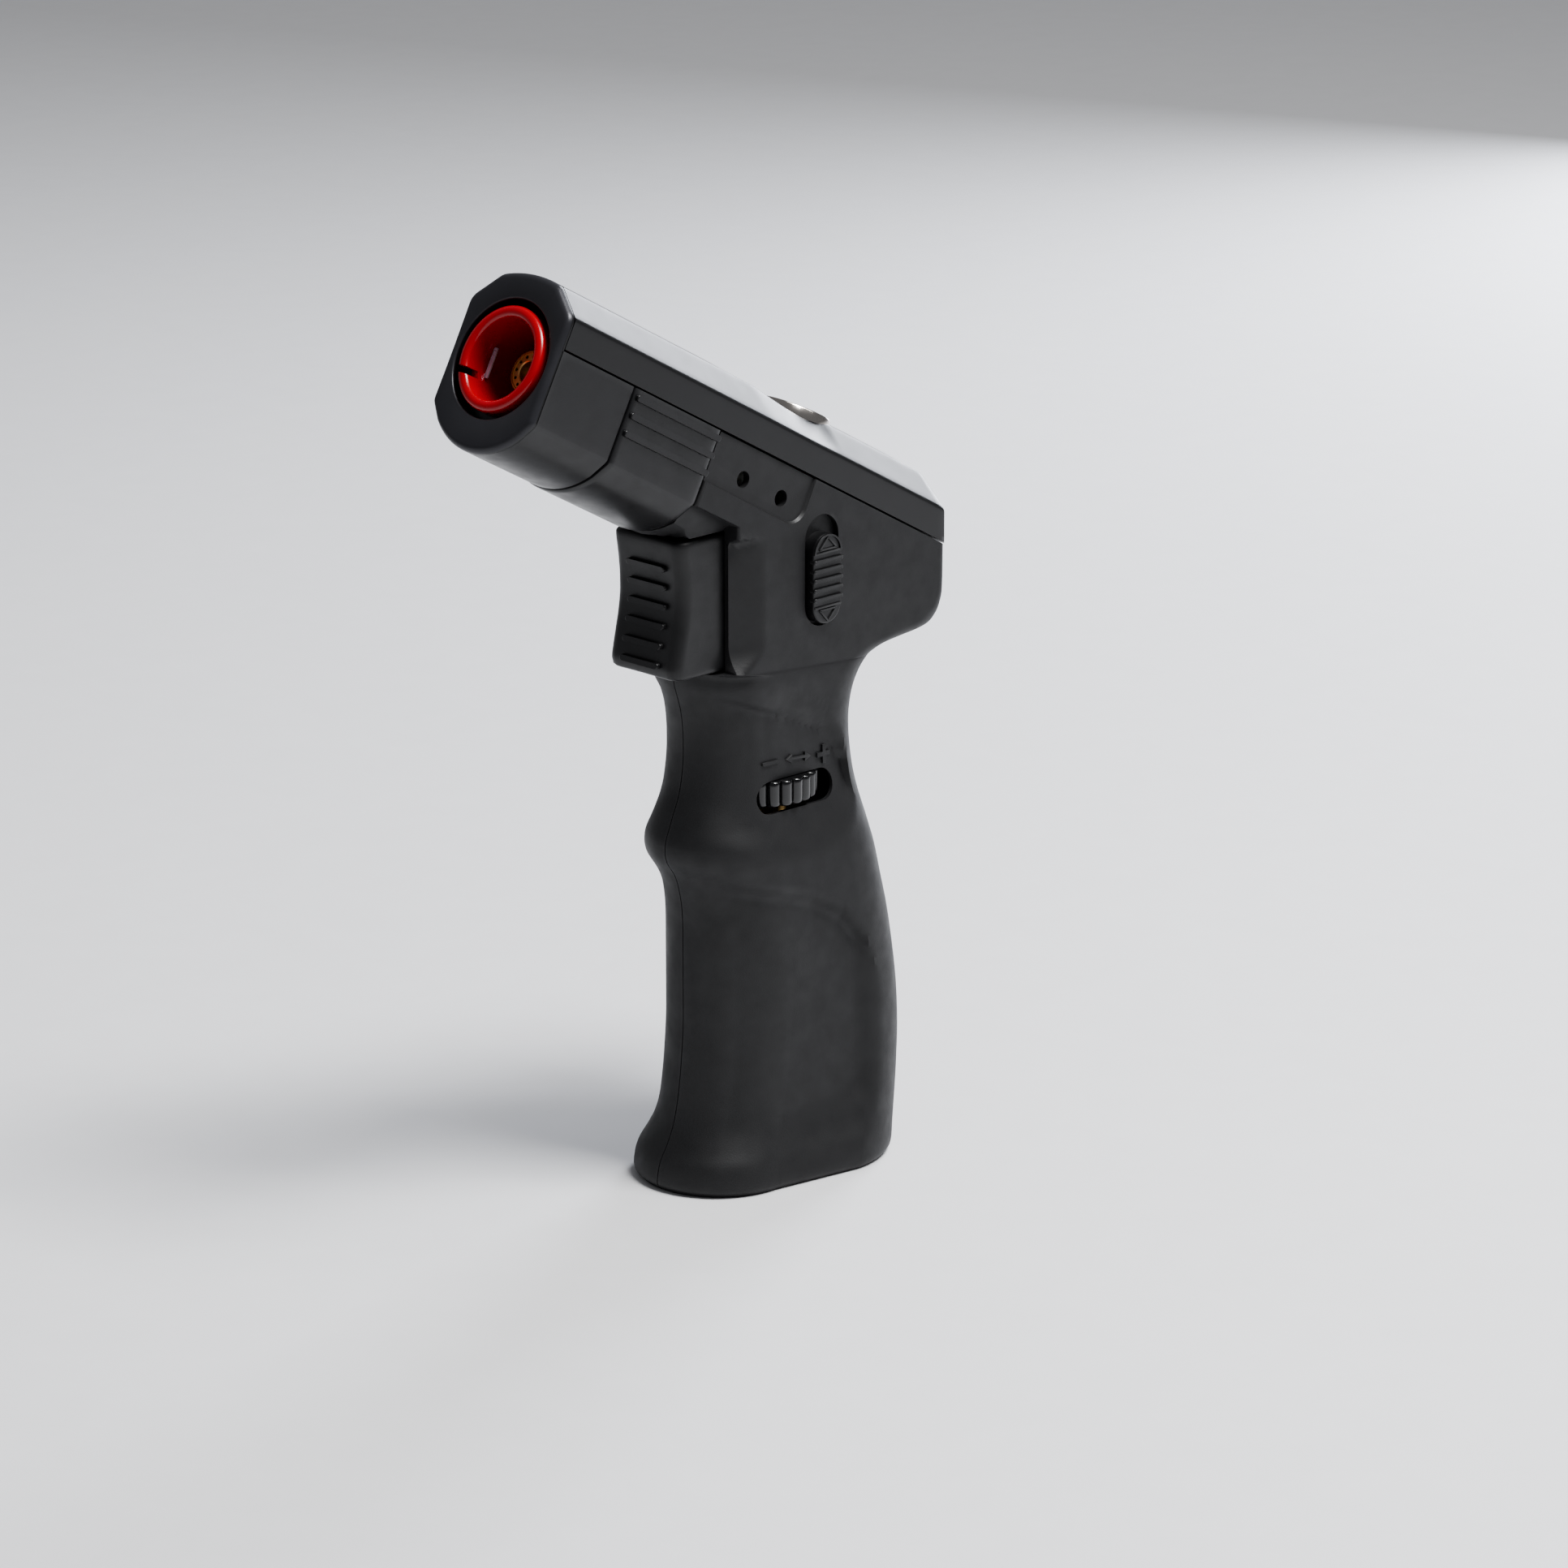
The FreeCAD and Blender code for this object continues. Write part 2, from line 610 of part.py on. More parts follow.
def housing_ribs():
    """Ribs and bosses inside the housing that carry the parts it holds."""
    ledge = D.shell_wall * 0.8
    wide = (-INSIDE, INSIDE)
    low = PIEZO_LOW - 1.9
    stop_gap = 0.1
    pieces = [
        block("spring_rib", (SPRING_END, SPRING_END + 1.5), wide, (D.pivot_z + 3.3, D.tongue_z - 2)),
        block("piezo_ledge_front", (D.piezo_front + 1, D.piezo_front + 1 + ledge), wide, (low, PIEZO_LOW)),
        block("piezo_ledge_rear", (PIEZO_BACK - 2, PIEZO_BACK + stop_gap), wide, (low, PIEZO_LOW)),
        block("piezo_stop", (PIEZO_BACK + stop_gap, PIEZO_BACK + stop_gap + 1.2), wide,
              (low, PIEZO_LOW + 1.4)),
        rod("pivot_boss_near", D.hub_radius + 0.6, "y", -INSIDE, LEVER_Y - LEVER_HALF - D.part_gap,
            x=D.pivot_x, z=D.pivot_z),
        rod("pivot_boss_far", D.hub_radius + 0.6, "y", LEVER_Y + LEVER_HALF + D.part_gap, INSIDE,
            x=D.pivot_x, z=D.pivot_z),
    ]
    for name, x, z in SCREWS:
        pieces.append(rod(f"boss_{name}", D.boss_radius, "y", -INSIDE + 0.8, INSIDE - 0.8, x=x, z=z))
    return pieces


def barrel_ribs():
    """Two cross ribs in the barrel that hold the mixing tube, and the barrel screw's boss."""
    half = SLEEVE_HALF - 0.6
    ribs = [block(f"tube_rib_{count}", (start, start + RIB_THICK), (-half, half),
                  (-SLEEVE_LOW + 2.5, D.seam_up - D.seam_gap))
            for count, start in enumerate((RIB_FRONT, RIB_REAR))]
    ribs.append(rod("boss_barrel", D.boss_radius, "y", -half, half, x=BARREL_SCREW[0], z=BARREL_SCREW[1]))
    bore = rod("tube_rib_bore", D.flame_tube_radius + TUBE_FIT, "x", RIB_FRONT - 1, D.jet_end)
    holder = rod("holder_rib_bore", HOLDER_RADIUS + TUBE_FIT, "x", RIB_FRONT - 1, RIB_FRONT + 4,
                 y=HOLDER_Y, z=HOLDER_UP)
    wire = rod("wire_rib_bore", HOLDER_RADIUS, "x", RIB_REAR - 1, RIB_REAR + 4, y=WIRE_Y, z=WIRE_UP)
    trimmed = cut("barrel_ribs_bored", fuse("barrel_ribs_raw", *ribs), bore, holder, wire)
    room = belly("barrel_rib_room", RIB_FRONT - 1, D.jet_end, SLEEVE_HALF - 0.5, D.flat_down,
                 SLEEVE_LOW - 0.5, D.seam_up)
    return common("barrel_ribs", on_barrel(trimmed), room)


WIRE_Y = as_size(6.0)
WIRE_UP = as_size(1.2)
LEVER_Y = D.valve_y
LEVER_HALF = as_size(3.2)
SPRING_END = as_size(-3)
SPRING_Z = as_size(88)


def housing_cuts():
    """Openings that pass through the housing's walls."""
    vents = [rod(f"vent_{count}", D.vent_radius, "y", -FAR, FAR,
                 x=D.vent_first + D.vent_pitch * count, z=-D.vent_down) for count in range(2)]
    side = D.trigger_half + D.trigger_side
    cuts = [
        on_barrel(fuse("vents", *vents)),
        block("trigger_slot", (-FAR, D.trigger_back + D.trigger_travel + 1), (-side, side),
              (D.trigger_low - D.part_gap, D.trigger_high + 2.4)),
        block("trigger_mouth", (-FAR, D.mouth_x), (-FAR, FAR),
              (D.trigger_low - D.part_gap, D.neck_top)),
        rod("refill_well", D.refill_radius + 1, "z", -1, D.shell_wall + 1, x=D.refill_x),
        rod("pivot_hole", D.pin_radius + TUBE_FIT, "y", -INSIDE + 0.2, INSIDE - 0.2,
            x=D.pivot_x, z=D.pivot_z),
    ]
    for name, x, z in SCREWS:
        cuts.append(rod(f"screw_hole_{name}", D.screw_radius + TUBE_FIT, "y",
                        HEAD_SEAT - D.screw_long - 0.3, FAR, x=x, z=z))
        cuts.append(rod(f"screw_well_{name}", D.screw_head + 0.1, "y", HEAD_SEAT, FAR, x=x, z=z))
    return cuts


def barrel_screw_cuts():
    x, z = BARREL_SCREW
    return on_barrel(fuse(
        "barrel_screw_cuts",
        rod("barrel_screw_hole", D.screw_radius + TUBE_FIT, "y", HEAD_SEAT - D.screw_long - 0.3,
            HEAD_SEAT + 0.1, x=x, z=z),
        rod("barrel_screw_well", D.screw_head + 0.1, "y", HEAD_SEAT, D.body_half, x=x, z=z)))


def left_cuts():
    """Windows that only the left half has: the flame wheel's and the safety slider's."""
    stem_half = D.knob_half * 0.6
    wheel_mid = D.wheel_z + D.wheel_high / 2
    relief = D.slot_long / 2 + 0.4
    return [
        block("wheel_relief", (D.valve_x - relief, D.valve_x + relief),
              (-INSIDE - 0.6, D.valve_y - D.column_radius),
              (wheel_mid - D.slot_high / 2, wheel_mid + D.slot_high / 2)),
        level_slot("wheel_window", -FAR, D.valve_y - D.column_radius, D.slot_high / 2,
                D.valve_x - D.slot_long / 2, D.valve_x + D.slot_long / 2, z=wheel_mid),
        upright_slot("slider_window", -FAR, -(D.body_half - D.window_deep), D.window_half,
                D.window_low, D.window_high, x=D.slider_x),
        upright_slot("slider_slot", -FAR, -(D.body_half - D.shell_wall - 1), stem_half,
                KNOB_MID - stem_half - D.part_gap,
                KNOB_MID + stem_half + D.slider_travel + D.part_gap, x=D.slider_x),
    ]


def housing():
    opened = cut("opened_form", housing_shell(), barrel_screw_cuts(), *housing_cuts())
    reach = as_size(80)
    left_room = block("left_room", (-reach, reach), (-reach, 0), (-1, reach * 2))
    right_room = block("right_room", (-reach, reach), (0, reach), (-1, reach * 2))
    node("left_housing", cut("left_half", common("left_form", opened, left_room), *left_cuts()))
    node("right_housing", common("right_half", opened, right_room))


def fuel_tank():
    outside = D.shell_wall + D.tank_gap
    inside = outside + D.tank_wall
    form = lofted("tank_outer", outside, 2, outside, TANK_TOP)
    room = lofted("tank_inner", inside, 2, inside, TANK_TOP)
    top = block("tank_mouth", (-12, 10), (-6, 6), (LID_Z - 2, LID_Z + 1))
    hole = rod("tank_fill_hole", D.refill_radius + TUBE_FIT, "z", 0, inside + 1, x=D.refill_x)
    node("fuel_tank", cut("tank", form, room, top, hole))

    lid = new_body("lid_plate")
    sketch = new_sketch(lid, "lid_outline", "XY_Plane", LID_Z)
    above = {word: getattr(D, f"grip_{word}_{TANK_TOP + 1}")
             for word in ("front", "front_round", "rear", "rear_round")}
    draw_oval(sketch, above["front"] + outside, above["front_round"] - outside,
              above["rear"] - outside, above["rear_round"] - outside)
    pad(lid, sketch, D.lid_thick)
    hole = rod("lid_hole", VALVE_NECK + TUBE_FIT, "z", LID_Z - 1, LID_TOP + 1, x=D.valve_x, y=D.valve_y)
    node("tank_lid", cut("lid", lid, hole))


VALVE_NECK = as_size(3.5)
VALVE_FLANGE = as_size(4.5)
CHAMBER = as_size(2.6)
VALVE_LOW = LID_Z - 4
CHAMBER_TOP = LID_Z + 3.5
NIPPLE_Z = D.column_top - 2
NIPPLE_END = D.valve_x + D.column_radius + 3.4


def outlet_valve():
    place = {"x": D.valve_x, "y": D.valve_y}
    seal_deep = 1
    body = fuse(
        "valve_solid",
        rod("valve_neck", VALVE_NECK, "z", VALVE_LOW, LID_TOP, **place),
        rod("valve_flange", VALVE_FLANGE, "z", LID_TOP, D.wheel_z - D.part_gap, **place),
        rod("valve_column", D.column_radius, "z", D.wheel_z - D.part_gap, D.column_top, **place),
        rod("valve_nipple", 1.0, "x", D.valve_x + D.stem_radius + 0.5, NIPPLE_END,
            y=D.valve_y, z=NIPPLE_Z))
    node("outlet_valve_body", cut(
        "valve_body", body,
        rod("valve_bore", D.stem_radius + TUBE_FIT, "z", VALVE_LOW - 1, D.column_top + 1, **place),
        rod("valve_chamber", CHAMBER, "z", VALVE_LOW - 1, CHAMBER_TOP, **place),
        rod("seal_seat", D.collar_radius, "z", D.column_top - seal_deep, D.column_top + 1, **place)))
    node("stem_seal", ring("seal_ring", D.collar_radius - TUBE_FIT, D.stem_radius + TUBE_FIT, "z",
                           D.column_top - seal_deep, D.column_top, **place))
    foot = VALVE_LOW + 1.2
    node("outlet_stem", fuse(
        "valve_stem_solid",
        rod("stem_rod", D.stem_radius, "z", foot, D.collar_z + 2, **place),
        rod("stem_foot", CHAMBER - 0.2, "z", foot, foot + 1, **place),
        rod("stem_collar", D.collar_radius, "z", D.collar_z, D.collar_z + 1, **place)))
    spring = coil("outlet_coil", 2.08, 0.3, 4, (foot + 1).value, CHAMBER_TOP.value)
    spring.translate(Vector(D.valve_x.value, D.valve_y.value, 0))
    shape_node("outlet_spring", spring)
    node("filter_wick", ring("wick", CHAMBER + 0.5, 0.6, "z", 14, VALVE_LOW, **place))
    node("wheel_clip", ring("clip", VALVE_FLANGE, D.column_radius + TUBE_FIT, "z",
                            WHEEL_TOP + D.part_gap, WHEEL_TOP + 1.1, **place))


def flame_wheel():
    body = new_body("wheel")
    sketch = new_sketch(body, "wheel_outline", "XY_Plane")
    for radius in (D.wheel_radius, D.column_radius + D.running_fit):
        side = sketch.addGeometry(Part.Circle(Vector(), Vector(0, 0, 1), radius.value), False)
        sketch.addConstraint(Sketcher.Constraint("Coincident", side, 3, -1, 1))
        fix(sketch, "Radius", side, radius)
    pad(body, sketch, D.wheel_high)
    flute = new_sketch(body, "wheel_flute", "XY_Plane", D.wheel_high)
    side = flute.addGeometry(Part.Circle(Vector(D.wheel_radius.value, 0, 0), Vector(0, 0, 1), 0.55), False)
    flute.addConstraint(Sketcher.Constraint("PointOnObject", side, 3, -1))
    fix(flute, "DistanceX", -1, 1, side, 3, D.wheel_radius + 0.15)
    fix(flute, "Radius", side, as_size(0.75))
    first = pad(body, flute, D.wheel_high, pocket=True)
    pattern = body.newObject("PartDesign::PolarPattern", "wheel_flutes")
    pattern.Originals = [first]
    pattern.Axis = (next(item for item in body.Origin.OriginFeatures if item.Role == "Z_Axis"), [""])
    pattern.Angle = 360
    bind(pattern, Occurrences=D.wheel_teeth)
    body.Tip = pattern
    node("flame_wheel", move(body, D.valve_x, D.valve_y, D.wheel_z))


def gas_lever():
    x, z = D.pivot_x, D.pivot_z
    fork_low = D.column_top + 0.4
    fork_top = D.collar_z - D.part_gap
    tip = D.valve_x - D.part_gap
    points = [(x - 1, D.arm_top), (x - 1, z - 1), (x - 3, fork_top + 0.2), (tip, fork_top),
              (tip, fork_low), (x - 2, fork_low + 0.3), (x, z - D.hub_radius), (x + 2, z),
              (x + 1, D.arm_top)]
    plate = move(profile("lever_plate", points, LEVER_HALF * 2), 0, LEVER_Y, 0)
    hub = rod("lever_hub", D.hub_radius, "y", LEVER_Y - LEVER_HALF, LEVER_Y + LEVER_HALF, x=x, z=z)
    gap = D.stem_radius + D.part_gap / 2
    node("gas_lever", cut(
        "lever", fuse("lever_solid", plate, hub),
        rod("lever_bore", D.pin_radius + D.running_fit, "y", -FAR, FAR, x=x, z=z),
        block("fork_gap", (tip - 2, D.valve_x + D.stem_radius + 1.6), (LEVER_Y - gap, LEVER_Y + gap),
              (fork_low - 1, fork_top + 1))))
    node("lever_pin", rod("pin", D.pin_radius, "y", -INSIDE + 0.4, INSIDE - 0.4, x=x, z=z))


def trigger():
    half = D.trigger_half
    top_front = D.trigger_front - 0.5
    low_front = D.trigger_lip
    rise = D.trigger_high - D.trigger_low
    hollow = 1.0
    bow = (rise * rise + 4 * hollow * hollow) / (8 * hollow)
    points = [(top_front, D.trigger_high), (low_front, D.trigger_low + 1.5), (low_front + 1, D.trigger_low),
              (D.trigger_back, D.trigger_low), (D.trigger_back, D.trigger_high)]
    plate = profile("trigger_plate", points, half * 2, {0: -bow})
    doc.recompute()
    rounded = doc.addObject("Part::Fillet", "trigger_rounded")
    rounded.Base = plate
    rounded.Edges = [(index, TRIGGER_ROUND, TRIGGER_ROUND)
                     for index, edge in enumerate(plate.Shape.Edges, 1)
                     if edge.BoundBox.XMax < D.trigger_front.value + 0.5 and edge.BoundBox.YLength < 0.01]
    pieces = [rounded, block("tongue", (D.trigger_back - 1, D.pivot_x - 1 - D.part_gap),
                             (LEVER_Y - 1.5, LEVER_Y + 1.5), (D.tongue_z, D.tongue_z + D.tongue_high))]
    count = 6
    first = D.trigger_high - 4.7
    for place in range(count):
        height = first - D.rib_pitch * place
        share = (D.trigger_high - height) / rise
        front = top_front + (low_front - top_front) * share + 4 * hollow * share * (1 - share)
        pieces.append(block(f"trigger_rib_{place}", (front - D.rib_proud, front + 1),
                            (-D.rib_wide / 2, D.rib_wide / 2),
                            (height - D.rib_high / 2, height + D.rib_high / 2)))
    node("trigger", fuse("trigger_solid", *pieces))
    spring = coil("trigger_coil", 2.2, 0.3, 6, 0, (SPRING_END - D.trigger_back).value)
    spring.rotate(Vector(), Vector(0, 1, 0), 90)
    spring.translate(Vector(D.trigger_back.value, 0, SPRING_Z.value))
    shape_node("trigger_spring", spring)


TRIGGER_ROUND = 1.6


def piezo():
    inside = 3
    half, high = D.plunger_half, D.plunger_high
    node("piezo_plunger", block("plunger", (D.trigger_back, D.piezo_front + inside), (-half, half),
                                (D.piezo_z - high / 2, D.piezo_z + high / 2)))
    room = D.piezo_front + inside + D.trigger_travel + 3
    slack = 0.1
    node("piezo_body", cut(
        "piezo_case",
        block("piezo_block", (D.piezo_front, PIEZO_BACK), (-D.piezo_half, D.piezo_half),
              (PIEZO_LOW, PIEZO_LOW + D.piezo_high)),
        block("piezo_room", (D.piezo_front - 1, room), (-half - slack, half + slack),
              (D.piezo_z - high / 2 - slack, D.piezo_z + high / 2 + slack))))
    node("piezo_end_cap", rod("end_cap", 2.4, "x", PIEZO_BACK, PIEZO_BACK + 1.4, z=D.piezo_z))
    start = D.piezo_front + inside
    spring = coil("piezo_coil", 1.9, 0.25, 5, 0, (room - start).value)
    spring.rotate(Vector(), Vector(0, 1, 0), 90)
    spring.translate(Vector(start.value, 0, D.piezo_z.value))
    shape_node("piezo_spring", spring)


def safety_slider():
    top = -(D.body_half + D.knob_proud)
    bottom = -(D.body_half - D.window_deep) - 0.1
    inner_face = -(D.body_half - D.shell_wall - D.part_gap)
    knob = upright_slot("slider_knob", top, bottom, D.knob_half, D.knob_low, D.knob_low + D.knob_long,
                        x=D.slider_x)
    stem = rod("slider_stem", D.knob_half * 0.56, "y", bottom, inner_face, x=D.slider_x, z=KNOB_MID)
    grooves = [block(f"slider_groove_{place}", (D.slider_x - FAR, D.slider_x + FAR), (top - 1, top + 0.4),
                     (KNOB_MID - 3 + place * 1.5 - 0.4, KNOB_MID - 3 + place * 1.5 + 0.4))
               for place in range(5)]
    node("safety_slider", cut("slider", fuse("slider_solid", knob, stem), *grooves))
    node("slider_lock_plate", block("lock_plate", (D.slider_x - 2, D.slider_x + 2),
                                    (inner_face, inner_face + 1), (KNOB_MID - 4, KNOB_MID + 4)))


def nozzle():
    deep = D.cup_deep
    strip_up = (HOLDER_UP - 0.4, HOLDER_UP + 0.4)
    node("nozzle_cup", on_barrel(cut(
        "cup",
        fuse("cup_solid", rod("cup_rim", D.cup_radius, "x", -0.9, CUP_REST),
             rod("cup_wall", CUP_BODY, "x", CUP_REST, deep)),
        rod("cup_room", D.cup_bore, "x", -2, deep - 2),
        rod("cup_hole", D.burner_radius + TUBE_FIT, "x", 0, deep + 1),
        block("cup_notch", (-2, CUP_REST), (D.cup_bore - 1, D.cup_radius + 1), (-3.4, -2.2)),
        block("cup_strip_slot", (deep - 3, deep + 1), (4.6, 5.6), (strip_up[0] - 0.1, strip_up[1] + 0.1)))))
    holes = [rod(f"flame_port_{place}", 0.25, "x", D.burner_face - 1, D.burner_face + 3,
                 y=2.4 * math.cos(place * math.pi / 6), z=2.4 * math.sin(place * math.pi / 6))
             for place in range(12)]
    node("burner_nozzle", on_barrel(cut(
        "burner", rod("burner_rod", D.burner_radius, "x", D.burner_face, TUBE_FRONT + 9),
        rod("burner_mouth", 1.6, "x", D.burner_face - 1, D.burner_face + 4),
        rod("burner_throat", 0.8, "x", D.burner_face + 3, TUBE_FRONT + 10), *holes)))
    air = [rod(f"air_hole_{place}", 1.1, "z", -FAR, FAR, x=TUBE_FRONT + 11.5 + 2.6 * place)
           for place in range(2)]
    node("mixing_tube", on_barrel(cut(
        "mixer", rod("mixer_rod", D.flame_tube_radius, "x", TUBE_FRONT, D.jet_start),
        rod("mixer_bore", D.burner_radius + TUBE_FIT, "x", TUBE_FRONT - 1, D.jet_start + 1), *air)))
    node("jet_holder", on_barrel(cut(
        "jet", fuse("jet_solid", rod("jet_body", D.flame_tube_radius, "x", D.jet_start, D.jet_end),
                    rod("jet_spigot", D.burner_radius, "x", D.jet_start - 1.6, D.jet_start),
                    rod("jet_nipple", 1.0, "x", D.jet_end, D.jet_end + 4)),
        rod("jet_orifice", 0.3, "x", D.jet_start - 3, D.jet_end + 5))))
    node("electrode", on_barrel(fuse(
        "electrode_solid",
        block("electrode_tip", (3, 3.5), (4.7, 5.5), (-2.6, 2.1)),
        block("electrode_leg", (3, deep + 1), (4.7, 5.5), strip_up),
        block("electrode_lug", (deep + 0.2, deep + 1), (4.7, HOLDER_Y + 0.6), strip_up))))
    node("electrode_insulator", on_barrel(cut(
        "insulator", rod("insulator_rod", HOLDER_RADIUS, "x", deep + 1, HOLDER_END, y=HOLDER_Y, z=HOLDER_UP),
        rod("insulator_bore", 0.3, "x", deep + 2, HOLDER_END + 1, y=HOLDER_Y, z=HOLDER_UP))))


CUP_REST = as_size(1.6)
CUP_BODY = as_size(7.4)
TUBE_FRONT = as_size(14.5)
HOLDER_END = as_size(23)


def covers():
    """The muzzle cap, the barrel cover with its finger ribs, and the slide on top."""
    wall, gap = D.cover_wall, D.seam_gap
    plate_end = D.face_thick - D.face_front
    cap_long = D.cap_end - plate_end
    half_in = D.body_half - wall
    solid = fuse(
        "cap_solid",
        belly("cap_face_low", -D.face_front, D.face_thick, D.body_half, D.flat_down, D.belly_down, ZERO),
        roof("cap_face_high", -D.face_front, D.face_thick, ZERO, ZERO),
        cut("cap_skirt",
            belly("cap_skirt_out", plate_end, cap_long, D.body_half, D.flat_down, D.belly_down,
                  D.seam_up - gap),
            belly("cap_skirt_in", plate_end - 1, cap_long + 2, half_in, D.flat_down,
                  D.belly_down - wall, D.seam_up + 1)),
        belly("cap_web", CUP_REST + 0.1, 1.5, half_in + 0.2, D.flat_down, D.belly_down - wall + 0.2,
              D.seam_up - gap))
    holes = on_barrel(fuse(
        "cap_holes",
        rod("face_opening", D.face_hole, "x", -2, CUP_REST),
        rod("web_opening", CUP_BODY + TUBE_FIT, "x", 0, 5)))
    node("muzzle_cap", cut("cap", solid, holes))

    start = D.cap_end + gap
    length = D.housing_start - gap - start
    step = D.step_up
    shell = cut(
        "barrel_cover_shell",
        belly("cover_out", start, length, D.body_half + step, D.flat_down + step, D.belly_down + step,
              D.seam_up - gap),
        belly("cover_in", start - 1, length + 2, half_in, D.flat_down, D.belly_down - wall, D.seam_up + 1))
    ribs = []
    for place in range(3):
        up = 2.1 - 2.8 * place
        for side in (-1, 1):
            face = (D.body_half + step) * side
            edges = (face - 0.3, face + 0.5) if side > 0 else (face - 0.5, face + 0.3)
            ribs.append(block(f"cover_rib_{place}_{side + 1}", (start + 0.8, start + length - 0.4), edges,
                              (up - 0.55, up + 0.55)))
    node("barrel_cover", fuse("cover", shell, on_barrel(fuse("cover_ribs", *ribs))))

    slide_long = as_size(95)
    beyond = block("slide_beyond", (D.rear_x, D.rear_x + FAR), (-FAR, FAR), (0, FAR * 6))
    rear_wall = block("slide_rear_wall", (D.rear_x - wall, D.rear_x + FAR), (-FAR, FAR), (0, FAR * 6))
    roof_form = roof("slide_out", plate_end + gap, slide_long, ZERO, D.seam_up + gap)
    outside = cut("slide_outside", roof_form, beyond)
    inside = cut("slide_inside", roof("slide_in", plate_end - 1, slide_long + 2, wall, D.seam_up - 1),
                 rear_wall)
    seat = rod("badge_seat", D.badge_radius + 0.1, "z", BADGE_UP, D.top_up + 2, x=D.badge_at)
    seat_foot = rod("badge_stud_hole", 0.8, "z", D.crown_up - wall - 1, BADGE_UP, x=D.badge_at)
    node("slide_cover", cut("slide_shell", outside, inside, on_barrel(fuse("badge_well", seat, seat_foot))))
    rim = D.badge_radius - 0.7
    node("badge_rim", on_barrel(ring("badge_rim_ring", D.badge_radius, rim + TUBE_FIT, "z", BADGE_UP,
                                     D.top_up, x=D.badge_at)))
    node("badge_dome", on_barrel(fuse(
        "badge", rod("badge_disc", rim, "z", BADGE_UP, D.top_up, x=D.badge_at),
        rod("badge_stud", 0.75, "z", D.crown_up - wall, BADGE_UP, x=D.badge_at))))


BADGE_UP = D.top_up - 0.9


def refill_valve():
    place = {"x": D.refill_x}
    floor_gap = D.shell_wall + D.tank_gap
    node("refill_valve_body", cut(
        "refill_solid_cut",
        fuse("refill_solid", rod("refill_barrel", D.refill_radius, "z", 1, 12, **place),
             rod("refill_flange", D.refill_radius + 0.8, "z", 1, floor_gap, **place)),
        rod("refill_bore", D.refill_stem + D.running_fit, "z", 0, 13, **place),
        rod("refill_chamber", 2.2, "z", 4, 10.5, **place)))
    node("refill_stem", fuse(
        "refill_stem_solid", rod("refill_rod", D.refill_stem, "z", 0.4, 11.2, **place),
        rod("refill_collar", 2.0, "z", 4.2, 5.2, **place)))
    spring = coil("refill_coil", 1.6, 0.25, 4, 5.2, 10.5)
    spring.translate(Vector(D.refill_x.value, 0, 0))
    shape_node("refill_spring", spring)


def screws():
    def one(name, x, z):
        return fuse(f"screw_{name}",
                    rod(f"screw_shank_{name}", D.screw_radius, "y", HEAD_SEAT - D.screw_long, HEAD_SEAT,
                        x=x, z=z),
                    rod(f"screw_head_{name}", D.screw_head, "y", HEAD_SEAT, HEAD_SEAT + 1.4, x=x, z=z))
    loose = [one(name, x, z) for name, x, z in SCREWS]
    node("housing_screws", fuse("screw_group", *loose, on_barrel(one("barrel", *BARREL_SCREW))))


def lines():
    """The gas hose and the ignition wire, which the housing holds all the way."""
    valve_end = Vector(NIPPLE_END.value, D.valve_y.value, NIPPLE_Z.value)
    hose = [valve_end, valve_end + Vector(6.0, 0, 0), Vector(8.4, -6.4, 82), Vector(6.8, -6.8, 97),
            Vector(-0.5, -5.4, 108.2), barrel_point(D.jet_end.value + 11, 0, 0),
            barrel_point(D.jet_end.value + 4, 0, 0)]
    shape_node("gas_hose", tube(hose, D.hose_radius.value))
    cap_end = PIEZO_BACK.value + 1.4
    high = D.piezo_z.value
    wire = [Vector(cap_end, 0, high), Vector(cap_end + 3, 0, high), Vector(16.0, 6.4, 106.5),
            barrel_point(60, 6.4, 3.0), barrel_point(46, WIRE_Y.value, WIRE_UP.value + 0.3),
            barrel_point(30, WIRE_Y.value, WIRE_UP.value),
            barrel_point(HOLDER_END.value + 3, HOLDER_Y.value, HOLDER_UP.value),
            barrel_point(HOLDER_END.value, HOLDER_Y.value, HOLDER_UP.value)]
    shape_node("ignition_wire", tube(wire, 0.6))


housing()
fuel_tank()
outlet_valve()
flame_wheel()
gas_lever()
trigger()
piezo()
safety_slider()
nozzle()
covers()
refill_valve()
screws()
lines()
doc.recompute()

faults = [item.Name for item in doc.Objects if "Invalid" in item.State or "Error" in item.State]
faults += [item.Label for item in NODES if item.Shape.isNull() or not item.Shape.isValid()]
if faults:
    raise RuntimeError("failed: " + ", ".join(faults))
os.makedirs("parts", exist_ok=True)
for item in NODES:
    item.Shape.exportStep(f"parts/{item.Label}.step")
    print(item.Label, len(item.Shape.Solids), round(item.Shape.Volume, 1))
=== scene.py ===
import math

import bmesh
import bpy
from bpy.props import FloatProperty, FloatVectorProperty, IntProperty, PointerProperty
from mathutils import Matrix, Vector

